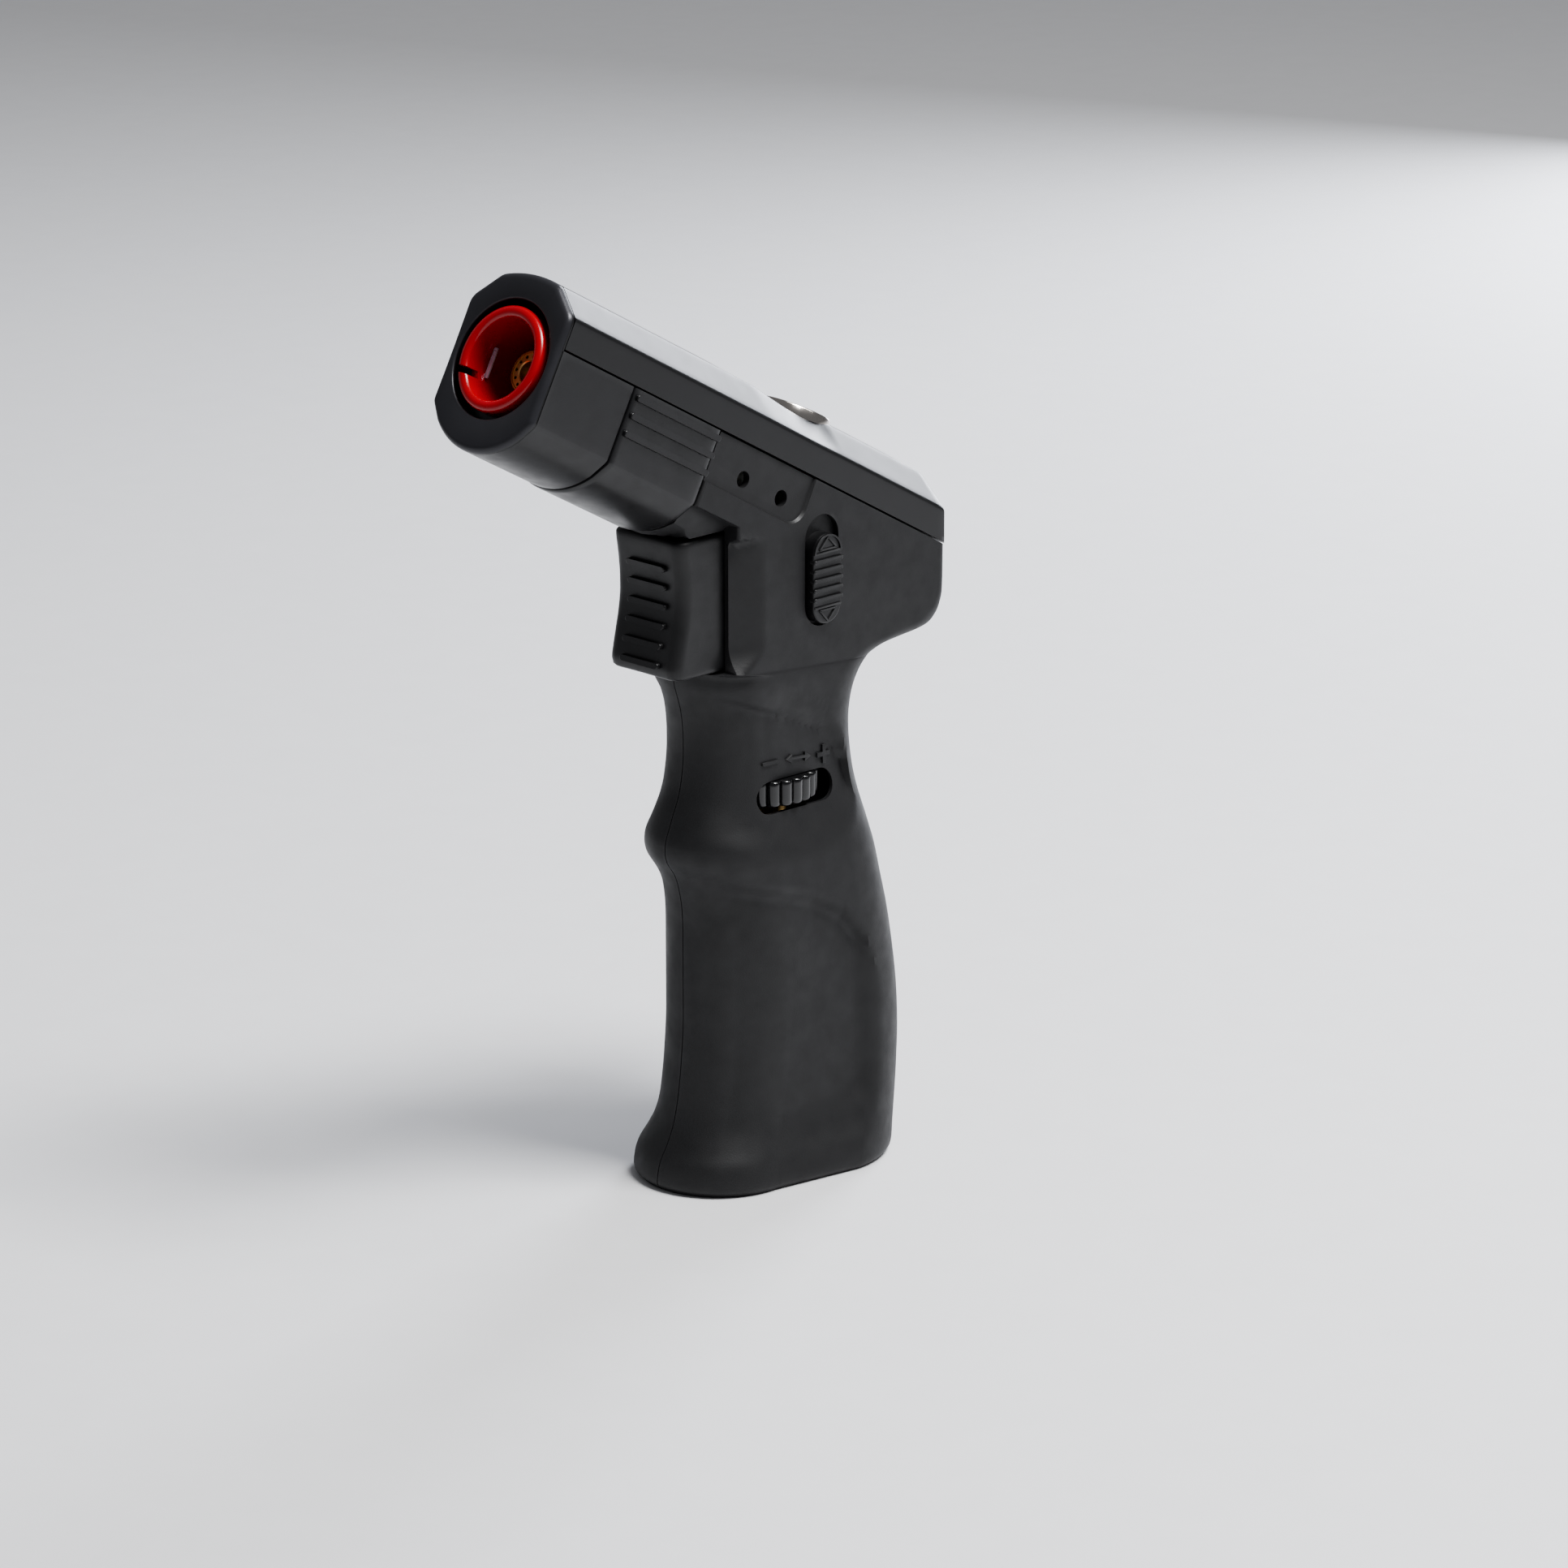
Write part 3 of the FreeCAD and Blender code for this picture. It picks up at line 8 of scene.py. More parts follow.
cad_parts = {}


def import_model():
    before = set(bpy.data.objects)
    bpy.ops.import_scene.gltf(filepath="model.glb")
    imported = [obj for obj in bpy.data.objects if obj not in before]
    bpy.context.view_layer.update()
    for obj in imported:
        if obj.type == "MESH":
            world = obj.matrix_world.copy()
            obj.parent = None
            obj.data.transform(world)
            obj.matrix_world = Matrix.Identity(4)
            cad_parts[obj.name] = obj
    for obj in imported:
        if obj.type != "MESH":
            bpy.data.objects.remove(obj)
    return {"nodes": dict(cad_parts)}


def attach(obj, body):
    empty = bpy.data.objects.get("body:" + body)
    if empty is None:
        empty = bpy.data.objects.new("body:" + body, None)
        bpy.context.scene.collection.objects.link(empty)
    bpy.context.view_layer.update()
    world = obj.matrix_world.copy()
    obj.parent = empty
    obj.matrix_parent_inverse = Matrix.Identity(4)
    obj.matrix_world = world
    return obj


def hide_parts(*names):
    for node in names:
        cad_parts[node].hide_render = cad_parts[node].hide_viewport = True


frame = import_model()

bl_info = {
    "name": "Butane Torch",
    "version": (1, 0, 0),
    "blender": (4, 5, 0),
    "location": "3D View > Sidebar > Torch",
    "description": "Builds the finished torch on its packed frame",
    "category": "Object",
}

MM = 0.001
TILT = math.radians(28.6)
COS, SIN = math.cos(TILT), math.sin(TILT)
RIM_X, RIM_Z = -54.3, 137.15
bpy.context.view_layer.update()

# Outline of the barrel, half of it, seen from the muzzle.
BODY_HALF = 10.75
CROWN_HALF = 6.0
CROWN_UP = 12.5
TOP_UP = 13.3
CHAMFER_UP = 8.3
SEAM_UP = 3.5
FLAT_DOWN = 8.4
BELLY_DOWN = 14.4
SEAM_GAP = 0.15
CAP_END = 16.7
COVER_START = CAP_END + SEAM_GAP
COVER_END = 36.85
HOUSING_START = 37.15
REAR_X = 28.78

# Grip sections: height, front, front radius, rear, rear radius.
GRIP = [
    (0.0, -23.4, 12.6, 20.0, 15.2),
    (0.6, -24.0, 13.0, 20.5, 15.7),
    (1.5, -24.4, 13.3, 20.9, 15.95),
    (4.5, -23.8, 13.0, 21.3, 15.6),
    (7.0, -22.3, 12.8, 21.7, 15.2),
    (10.0, -20.9, 12.7, 22.1, 14.9),
    (14.0, -19.9, 12.7, 22.6, 14.4),
    (20.0, -19.1, 12.7, 22.9, 14.1),
    (28.0, -18.6, 12.8, 22.5, 13.8),
    (38.0, -18.6, 12.8, 21.0, 13.3),
    (45.0, -18.8, 12.6, 19.4, 12.8),
    (50.0, -20.0, 12.1, 18.2, 12.4),
    (53.0, -21.9, 11.8, 17.2, 12.1),
    (55.5, -22.3, 11.5, 16.3, 11.9),
    (59.5, -20.9, 11.1, 14.8, 11.6),
    (64.0, -19.1, 11.0, 13.6, 11.3),
    (70.0, -18.3, 11.0, 12.9, 11.1),
]

# Upper housing rows, from the slide seam down: front x, z, rear x, z, front corner along and
# across, rear corner along and across, lift of the inner face at the front.
UPPER = [
    (-20.08, 122.31, 28.79, 95.65, 0.5, 0.5, 2.2, 2.2, 0.0),
    (-23.12, 116.74, 28.79, 92.3, 0.5, 0.5, 2.2, 2.2, 0.4),
    (-25.7, 112.0, 28.79, 88.5, 0.5, 0.5, 2.4, 2.4, 1.0),
    (-21.3, 109.6, 28.55, 86.2, 0.5, 0.5, 3.0, 3.0, 1.0),
    (-16.9, 107.2, 27.9, 84.6, 0.5, 0.5, 3.6, 3.4, 0.8),
    (-16.9, 103.0, 26.7, 83.3, 0.5, 0.5, 4.4, 4.0, 0.2),
    (-16.9, 98.0, 24.6, 82.6, 0.5, 0.5, 5.4, 4.8, 0.0),
    (-16.9, 93.0, 21.6, 82.15, 0.5, 0.5, 6.6, 6.0, 0.0),
    (-16.9, 88.5, 18.9, 81.7, 0.5, 0.5, 8.0, 7.6, 0.0),
    (-16.9, 83.9, 17.0, 81.0, 0.8, 0.8, 9.4, 9.2, 0.0),
    (-20.5, 83.5, 16.6, 80.7, 10.6, 10.4, 9.8, 9.6, 0.0),
    (-20.15, 81.0, 15.2, 79.0, 10.9, 10.7, 10.6, 10.4, 0.0),
    (-18.9, 77.0, 13.8, 76.2, 11.0, 10.85, 10.9, 10.8, 0.0),
    (-18.4, 73.5, 13.1, 73.0, 11.0, 10.95, 11.0, 10.95, 0.0),
]
WALL = 1.6
PARTING = 0.16
OUTSIDE = 14
SLIDE_START, SLIDE_END, SLIDE_ROUND = 0.85, 87.5, 1.6
INLET_FIRST, INLET_PITCH, INLET_UP, INLET_RADIUS = 45.07, 9.06, -1.65, 1.3
MOUTH_RADIUS = 9.25
COVER_STEP = 0.2
RIB_TOP, RIB_PITCH, RIB_HALF = 2.05, 2.75, 0.5
BADGE_AT, BADGE_RADIUS, BADGE_FLOOR = 61, 6.0, 11.4
TRIGGER_LOW, TRIGGER_HIGH, TRIGGER_HALF, TRIGGER_REAR = 84.0, 105.6, 7.5, -14.0
WHEEL_X, WHEEL_Y, WHEEL_LOW, WHEEL_TOP, WHEEL_BORE = -4, -1.6, 61.0, 65.05, 3.25


def barrel(along, across, up):
    """A barrel place, in millimetres, as a point of the frame, in metres."""
    return Vector((RIM_X + along * COS + up * SIN, across, RIM_Z - along * SIN + up * COS)) * MM


def across_barrel(across, up, along):
    """The same for outlines drawn square to the barrel, their depth counted along it."""
    return barrel(along, across, up)


def world(x, y, z):
    """A place in millimetres as a point of the frame, in metres."""
    return Vector((x, y, z)) * MM


def ease(value, low=0.0, high=1.0):
    """Smooth step from 0 at low to 1 at high."""
    share = min(1.0, max(0.0, (value - low) / (high - low)))
    return share * share * (3 - 2 * share)


def along_line(points, value):
    """Second number of a table of pairs at the given first number."""
    if value <= points[0][0]:
        return points[0][1]
    for (x0, y0), (x1, y1) in zip(points, points[1:]):
        if value <= x1:
            return y0 + (y1 - y0) * (value - x0) / (x1 - x0)
    return points[-1][1]


def spline(rows, place):
    """Smooth row of numbers between the rows of a table, at a place counted in rows."""
    count = len(rows)
    first = min(int(place), count - 2)
    t = place - first
    before, a, b, after = (rows[max(0, min(count - 1, first + step))] for step in (-1, 0, 1, 2))
    result = []
    for p0, p1, p2, p3 in zip(before, a, b, after):
        m1, m2 = (p2 - p0) / 2, (p3 - p1) / 2
        if (p2 - p1) * (p1 - p0) <= 0:
            m1 = 0
        if (p3 - p2) * (p2 - p1) <= 0:
            m2 = 0
        h = t * t * (3 - 2 * t)
        result.append(p1 + (p2 - p1) * h + m1 * t * (1 - t) ** 2 - m2 * t * t * (1 - t))
    return result


# ---------------------------------------------------------------- mesh helpers

def mesh_piece(name, points, faces):
    """A mesh object in the scene, its doubled points merged and its faces turned outwards."""
    mesh = bpy.data.meshes.new(name)
    mesh.from_pydata([tuple(point) for point in points], [], faces)
    mesh.validate()
    piece = bpy.data.objects.new(name, mesh)
    bpy.context.scene.collection.objects.link(piece)
    tidy = bmesh.new()
    tidy.from_mesh(mesh)
    bmesh.ops.remove_doubles(tidy, verts=tidy.verts, dist=0.000002)
    bmesh.ops.recalc_face_normals(tidy, faces=tidy.faces)
    tidy.to_mesh(mesh)
    tidy.free()
    mesh.shade_smooth()
    return piece


def loft(name, rows, ring=True, caps=True):
    """A closed skin through rows of points that each go once round the piece."""
    width = len(rows[0])
    points = [point for row in rows for point in row]
    faces = []
    last = width if ring else width - 1
    for row in range(len(rows) - 1):
        for column in range(last):
            after = (column + 1) % width
            faces.append((row * width + column, row * width + after,
                          (row + 1) * width + after, (row + 1) * width + column))
    if caps:
        faces.append(tuple(range(width))[::-1])
        faces.append(tuple(range((len(rows) - 1) * width, len(rows) * width)))
    return mesh_piece(name, points, faces)


def shell(name, outer, inner, closed_end):
    """A thin-walled piece, open along both long edges and at its first row."""
    rows, width = len(outer), len(outer[0])
    points = [point for row in outer for point in row] + [point for row in inner for point in row]
    inside = rows * width
    faces = []
    for row in range(rows - 1):
        for column in range(width - 1):
            here = row * width + column
            faces.append((here, here + 1, here + width + 1, here + width))
            faces.append(tuple(inside + corner
                               for corner in (here + width, here + width + 1, here + 1, here)))
        for column in (0, width - 1):
            here = row * width + column
            faces.append((here, here + width, inside + here + width, inside + here))
    ends = [0] if closed_end else [0, rows - 1]
    for row in ends:
        for column in range(width - 1):
            here = row * width + column
            faces.append((here, here + 1, inside + here + 1, inside + here))
    if closed_end:
        last = (rows - 1) * width
        faces.append(tuple(range(last, last + width)))
        faces.append(tuple(range(inside + last, inside + last + width)))
        faces.append((last, last + width - 1, inside + last + width - 1, inside + last))
    return mesh_piece(name, points, faces)


def lathe(name, profile, place, steps=72):
    """A turned piece: profile of (distance along, radius), closed, set by place(along, a, b)."""
    rows = []
    for step in range(steps):
        turn = 2 * math.pi * step / steps
        rows.append([place(along, radius * math.cos(turn), radius * math.sin(turn))
                     for along, radius in profile])
    rows.append(rows[0])
    return loft(name, rows, ring=True, caps=False)


def outline_prism(name, outline, place, low, high, edge=0.0, steps=3):
    """A plate between low and high with the given flat outline, its high edge rounded."""
    centre = [sum(point[axis] for point in outline) / len(outline) for axis in (0, 1)]
    reach = max(math.dist(point, centre) for point in outline)

    def inset(amount):
        """The outline, drawn in towards its centre."""
        share = 1 - amount / reach
        return [(centre[0] + (x - centre[0]) * share, centre[1] + (y - centre[1]) * share)
                for x, y in outline]

    sign = 1 if high > low else -1
    rows = [[place(x, y, low) for x, y in outline]]
    if edge:
        for step in range(steps + 1):
            turn = math.pi / 2 * step / steps
            ring = inset(edge * (1 - math.cos(turn)))
            rows.append([place(x, y, high - sign * edge * (1 - math.sin(turn))) for x, y in ring])
    else:
        rows.append([place(x, y, high) for x, y in outline])
    return loft(name, rows)


def circle(mid_x, mid_y, radius, step, first=0):
    """Outline of a circle with a corner every step degrees."""
    turns = [math.radians(turn) for turn in range(first, 360 + first, step)]
    return [(mid_x + radius * math.cos(turn), mid_y + radius * math.sin(turn)) for turn in turns]


def stadium(mid_x, mid_y, half, long_half, steps=14):
    """Outline of a slot with round ends, its long way along the second axis."""
    points = []
    for end in (1, -1):
        for step in range(steps + 1):
            turn = math.pi * step / steps + (0 if end > 0 else math.pi)
            points.append((mid_x + half * math.cos(turn),
                           mid_y + end * (long_half - half) + half * math.sin(turn)))
    return points


def box_outline(x0, x1, y0, y1, radius=0.0, steps=5):
    """Outline of a box with rounded corners."""
    if not radius:
        return [(x0, y0), (x1, y0), (x1, y1), (x0, y1)]
    points = []
    for x, y, start in ((x1, y0, -90), (x1, y1, 0), (x0, y1, 90), (x0, y0, 180)):
        centre_x = x - math.copysign(radius, x - (x0 + x1) / 2)
        centre_y = y - math.copysign(radius, y - (y0 + y1) / 2)
        for step in range(steps + 1):
            turn = math.radians(start + 90 * step / steps)
            points.append((centre_x + radius * math.cos(turn), centre_y + radius * math.sin(turn)))
    return points


def on_side(sign):
    """Place for outlines in X and Z on one side of the torch, depth counted outwards."""
    return lambda x, z, depth: world(x, sign * depth, z)


def on_barrel_side(sign):
    """Places outlines on the barrel's left (-1) or right (1) side, their depth counted across it."""
    return lambda along, up, depth: barrel(along, sign * depth, up)


def join(name, pieces):
    """One object of several."""
    whole = bmesh.new()
    for piece in pieces:
        whole.from_mesh(piece.data)
    mesh = bpy.data.meshes.new(name)
    whole.to_mesh(mesh)
    whole.free()
    for piece in pieces:
        bpy.data.objects.remove(piece)
    mesh.shade_smooth()
    result = bpy.data.objects.new(name, mesh)
    bpy.context.scene.collection.objects.link(result)
    return result


def bake(piece):
    """The piece's modifiers become its mesh."""
    bpy.context.view_layer.update()
    evaluated = piece.evaluated_get(bpy.context.evaluated_depsgraph_get())
    mesh = bpy.data.meshes.new_from_object(evaluated)
    piece.modifiers.clear()
    piece.data = mesh
    return piece


def carve(piece, *cutters):
    """Cuts the cutters out of the piece."""
    for cutter in cutters:
        modifier = piece.modifiers.new("Cut", "BOOLEAN")
        modifier.operation = "DIFFERENCE"
        modifier.solver = "EXACT"
        modifier.object = cutter
    bake(piece)
    for cutter in cutters:
        bpy.data.objects.remove(cutter)
    if len(piece.data.polygons) < 20:
        raise RuntimeError(f"{piece.name} was lost in a cut")
    return piece


def crisp(piece, angle=32):
    """Smooth shading that keeps edges sharper than the angle, in degrees."""
    edges = bmesh.new()
    edges.from_mesh(piece.data)
    limit = math.radians(angle)
    for edge in edges.edges:
        flat_end = any(len(face.verts) > 16 for face in edge.link_faces)
        edge.smooth = len(edge.link_faces) == 2 and not flat_end and edge.calc_face_angle(0) < limit
    edges.to_mesh(piece.data)
    edges.free()
    piece.data.shade_smooth()
    return piece


def rounded(piece, width, segments=2, angle=32):
    """Bevels the piece's sharp edges, width in millimetres."""
    modifier = piece.modifiers.new("Edge", "BEVEL")
    modifier.width = width * MM
    modifier.segments = segments
    modifier.limit_method = "ANGLE"
    modifier.angle_limit = math.radians(angle)
    modifier.harden_normals = False
    bake(piece)
    return crisp(piece)


def settle(piece, body, slot, nodes, *looks):
    """Gives a finished piece its looks and body, and hides the nodes it stands for; its slot is not
    used.
    """
    piece.data.materials.clear()
    for look in looks:
        piece.data.materials.append(look)
    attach(piece, body)
    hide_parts(*nodes)
    return piece


# ---------------------------------------------------------------- finishes

def finish_material(name, colour, rough, grain=0.0, grain_size=0.35, uneven=0.06, metal=0.0,
                    coat=0.0, stretch=(1.0, 1.0, 1.0), worn=0.0, tone=0.1):
    """A moulded or metal finish: fine grain, uneven gloss, slight colour change and worn edges."""
    look = bpy.data.materials.new(name)
    look.use_nodes = True
    look.diffuse_color = (*colour, 1)
    nodes, links = look.node_tree.nodes, look.node_tree.links
    shader = nodes["Principled BSDF"]
    shader.inputs["Metallic"].default_value = metal
    shader.inputs["Coat Weight"].default_value = coat
    shader.inputs["Coat Roughness"].default_value = 0.12
    places = nodes.new("ShaderNodeTexCoord")
    mapping = nodes.new("ShaderNodeMapping")
    mapping.inputs["Scale"].default_value = stretch
    links.new(places.outputs["Object"], mapping.inputs["Vector"])

    def noise(size, detail):
        """A noise texture whose grain has the given size in millimetres."""
        node = nodes.new("ShaderNodeTexNoise")
        node.inputs["Scale"].default_value = 1 / (size * MM)
        node.inputs["Detail"].default_value = detail
        links.new(mapping.outputs["Vector"], node.inputs["Vector"])
        return node

    cloud = noise(9.0, 3)
    tint = nodes.new("ShaderNodeValToRGB")
    tint.color_ramp.elements[0].position = 0.3
    tint.color_ramp.elements[1].position = 0.7
    tint.color_ramp.elements[0].color = (*[part * (1 - tone) for part in colour], 1)
    tint.color_ramp.elements[1].color = (*[min(1, part * (1 + tone)) for part in colour], 1)
    links.new(cloud.outputs["Fac"], tint.inputs["Fac"])
    colour_out = tint.outputs["Color"]
    if worn:
        geometry = nodes.new("ShaderNodeNewGeometry")
        edge = nodes.new("ShaderNodeMapRange")
        edge.inputs["From Min"].default_value = 0.54
        edge.inputs["From Max"].default_value = 0.64
        links.new(geometry.outputs["Pointiness"], edge.inputs["Value"])
        mix = nodes.new("ShaderNodeMix")
        mix.data_type = "RGBA"
        mix.inputs["B"].default_value = (*[min(1, part + worn) for part in colour], 1)
        links.new(edge.outputs["Result"], mix.inputs["Factor"])
        links.new(colour_out, mix.inputs["A"])
        colour_out = mix.outputs["Result"]
    links.new(colour_out, shader.inputs["Base Color"])
    smear = noise(3.2, 4)
    gloss = nodes.new("ShaderNodeMapRange")
    gloss.inputs["From Min"].default_value = 0.3
    gloss.inputs["From Max"].default_value = 0.7
    gloss.inputs["To Min"].default_value = max(0.02, rough - uneven)
    gloss.inputs["To Max"].default_value = rough + uneven
    links.new(smear.outputs["Fac"], gloss.inputs["Value"])
    links.new(gloss.outputs["Result"], shader.inputs["Roughness"])
    if grain:
        speck = noise(grain_size, 5)
        bump = nodes.new("ShaderNodeBump")
        bump.inputs["Strength"].default_value = grain
        bump.inputs["Distance"].default_value = 0.05 * MM
        links.new(speck.outputs["Fac"], bump.inputs["Height"])
        links.new(bump.outputs["Normal"], shader.inputs["Normal"])
    return look


def make_looks():
    """All finishes, by name, from the colours in the panel."""
    tones = bpy.context.scene.torch_colours
    black = Vector(tones.housing)
    slide = Vector(tones.slide)
    red = Vector(tones.cup)
    brass = Vector(tones.brass)
    return {
        "housing_black": finish_material("Soft-touch black", black, 0.56, 0.35, 0.22, worn=0.012),
        "slide_black": finish_material("Satin slide black", slide, 0.34, uneven=0.02),
        "muzzle_black": finish_material("Satin muzzle black", slide * 1.25, 0.34, 0.12, 0.3, worn=0.012),
        "muzzle_face": finish_material("Gunmetal muzzle face", slide * 7, 0.36, 0.05, 0.25, metal=0.35),
        "trigger_black": finish_material("Trigger black", black * 0.85, 0.42, 0.25, 0.2, worn=0.02),
        "slider_black": finish_material("Slider black", black * 0.8, 0.4, 0.18, 0.2, worn=0.02),
        "wheel_black": finish_material("Gloss wheel black", slide * 0.8, 0.14, 0.05, 0.4, coat=0.4),
        "cup_red": finish_material("Gloss red", red, 0.28, 0.03, 0.5, uneven=0.03, coat=0.25),
        "brass": finish_material("Turned brass", brass, 0.33, 0.03, 0.3, metal=1.0),
        "electrode_steel": finish_material("Electrode strip", (0.62, 0.58, 0.72), 0.3, 0.12, 0.2,
                                           metal=0.6, stretch=(6, 1, 1)),
        "spring_steel": finish_material("Drawn steel", (0.5, 0.5, 0.52), 0.28, 0.1, 0.15, metal=1.0),
        "badge_metal": finish_material("Polished rim", (0.5, 0.47, 0.44), 0.16, 0.05, 0.2, uneven=0.04,
                                       metal=1.0),
        "badge_black": finish_material("Satin badge black", slide * 0.9, 0.3, 0.04, 0.4),
        "tank_plastic": finish_material("Tank plastic", (0.52, 0.54, 0.53), 0.45, 0.1, 0.5),
        "lever_plastic": finish_material("Acetal", (0.68, 0.68, 0.66), 0.4, 0.1, 0.4),
        "piezo_plastic": finish_material("Igniter case", (0.05, 0.05, 0.055), 0.4, 0.12, 0.3),
        "rubber_black": finish_material("Seal rubber", (0.02, 0.02, 0.02), 0.6, 0.2, 0.2),
        "felt": finish_material("Wick felt", (0.72, 0.7, 0.66), 0.9, 0.9, 0.35),
        "ceramic": finish_material("Glazed ceramic", (0.84, 0.83, 0.79), 0.2, 0.05, 0.6, coat=0.3),
        "hose": finish_material("Silicone hose", (0.68, 0.68, 0.64), 0.42, 0.1, 0.5),
        "wire_sheath": finish_material("Wire sheath", (0.5, 0.03, 0.03), 0.4, 0.1, 0.4),
        "floor": finish_material("Pale floor", (0.72, 0.72, 0.73), 0.7, uneven=0.01, tone=0.01),
    }


LOOKS = {}


# ---------------------------------------------------------------- housing halves

def scallops(x, z):
    """Depth of the hand grip's hollows at a place on the side, in millimetres."""
    top = along_line([(-24, 83), (-20, 81.5), (-10, 77.7), (-2, 74), (2.5, 72), (5.5, 69), (7, 66.5),
                      (8, 61), (8.6, 57)], x)
    low = along_line([(-23, 54.8), (-14, 53), (-6, 51.7), (0, 52), (4, 53.2), (7, 55), (8.6, 57.5)], x)
    ridge = along_line([(-12, 82.5), (-8, 81), (-2, 78), (2, 74.8), (5.5, 70.4), (8, 64)], x)
    depth = 0.0
    if x < 8.6 and low < z < top:
        depth = 1.3 * ease(top - z, 0, 1.8) * ease(z - low, 0, 8.5)
    facet = ease(x, -14, -5) * (1 - ease(x, 5, 8))
    if z < ridge:
        share = min(1.0, (ridge - z) / max(0.5, ridge - top))
        fade = ease(z - low, 5, 20)
        depth += 1.25 * facet * share * fade
    top = along_line([(-24, 51.7), (-18, 51.6), (-10, 49.5), (-2, 47), (4, 43.5), (8, 38.5), (10, 33),
                      (11.4, 26)], x)
    low = along_line([(-26, 4.2), (-12, 1.6), (-5, 0.6), (1, 1.1), (5, 2.6), (8, 5.2), (10, 9),
                      (11.4, 16)], x)
    if x < 11.4 and low < z < top:
        depth += 1.8 * ease(top - z, 0, 3.4) * ease(z - low, 0, 11) * ease(11.4 - x, 0, 5)
    return min(depth, 1.9)


def mouth_facet(x, z):
    """Half width left by the slanted faces behind the trigger."""
    limit = 8.5 + (x + 16.9) * 0.42
    return limit + 4 * (1 - ease(z, 79, 88)) + 14 * ease(z, 104.2, 106.4)


def section(front, rear, corner_front, corner_rear, half_front, half_rear, sign, thick=0.0,
            walls=5):
    """One row round a housing half, from the front of the mid-plane to its rear."""
    (front_x, front_z), (rear_x, rear_z) = front, rear
    long = math.dist(front, rear)
    way = ((rear_x - front_x) / long, (rear_z - front_z) / long)
    (a, b), (c, d) = corner_front, corner_rear
    flat = []
    start_wall, end_wall = max(0.04, half_front - b), max(0.04, half_rear - d)
    flat += [(0, start_wall * step / walls) for step in range(walls)]
    arc = 26
    for step in range(arc + 1):
        turn = math.pi / 2 * step / arc
        flat.append((a * (1 - math.cos(turn)), start_wall + (half_front - start_wall) * math.sin(turn)))
    side = 56
    for step in range(1, side):
        share = step / side
        flat.append((a + (long - a - c) * share, half_front + (half_rear - half_front) * share))
    for step in range(arc + 1):
        turn = math.pi / 2 * (1 - step / arc)
        flat.append((long - c * (1 - math.cos(turn)),
                     end_wall + (half_rear - end_wall) * math.sin(turn)))
    flat += [(long, end_wall * step / walls) for step in range(walls - 1, -1, -1)]
    row = []
    for along, depth in flat:
        x, z = front_x + way[0] * along, front_z + way[1] * along
        share = min(1.0, depth / 9.5) ** 2
        depth -= scallops(x, z) * share * (0.3 if thick else 1.0)
        if z > 78 and x < -8:
            depth = min(depth, max(0.0, mouth_facet(x, z) - thick))
        row.append((x, sign * max(0.0, depth), z))
    return [(x, sign * max(PARTING / 2, abs(y)), z) for x, y, z in row]


def housing_rows():
    """Outer and inner control rows of a half, from the seam under the slide to the foot."""
    rows = []
    for fx, fz, rx, rz, fa, fb, ra, rb, lift in UPPER:
        half = BODY_HALF if fa < 2 else BODY_HALF + 0.1
        if fa > 10.85:
            half = BODY_HALF + 0.2
        rows.append((fx, fz, rx, rz, fa, fb, ra, rb, half, half, lift))
    for height, front, front_round, rear, rear_round in reversed(GRIP):
        rows.append((front, height, rear, height, front_round, front_round, rear_round, rear_round,
                     front_round, rear_round, 0.0))
    return rows


def housing_skin(name, sign):
    """The hollow half before anything is cut into it."""
    controls = housing_rows()
    straight = 10
    outer = []
    for place in range(len(controls) - 1):
        a, b = controls[place], controls[place + 1]
        reach = max(math.dist(a[:2], b[:2]), math.dist(a[2:4], b[2:4]))
        steps = max(3, int(reach / 0.62))
        for step in range(steps + (place == len(controls) - 2)):
            share = step / steps
            row = spline(controls, place + share)
            if place < straight:
                for index in (0, 1, 4, 5):
                    row[index] = a[index] + (b[index] - a[index]) * share
            outer.append(row)
    skins = ([], [])
    for row in outer:
        fx, fz, rx, rz, fa, fb, ra, rb, half_front, half_rear, lift = row
        skins[0].append([world(*point) for point in
                         section((fx, fz), (rx, rz), (fa, fb), (ra, rb), half_front, half_rear, sign)])
        floor = 1.8 * max(0.0, 1 - fz / 20)
        long = math.dist((fx, fz), (rx, rz))
        way = ((rx - fx) / long, (rz - fz) / long)
        front = (fx + way[0] * WALL + lift * WALL * SIN, fz + way[1] * WALL + lift * WALL * COS + floor)
        rear = (rx - way[0] * WALL, rz - way[1] * WALL + floor + (WALL * 0.6 if 81 < rz < 88 else 0))
        skins[1].append([world(*point) for point in
                         section(front, rear, (max(0.3, fa - WALL), max(0.3, fb - WALL)),
                                 (max(0.3, ra - WALL), max(0.3, rb - WALL)),
                                 half_front - WALL, half_rear - WALL, sign, WALL)])
    return shell(name, skins[0], skins[1], closed_end=True)


def belly_at(across):
    """Height of the barrel's round underside, a little inside it."""
    depth = BELLY_DOWN - FLAT_DOWN
    radius = (BODY_HALF ** 2 + depth ** 2) / (2 * depth)
    return radius - BELLY_DOWN + 0.15 - math.sqrt(radius ** 2 - across ** 2)


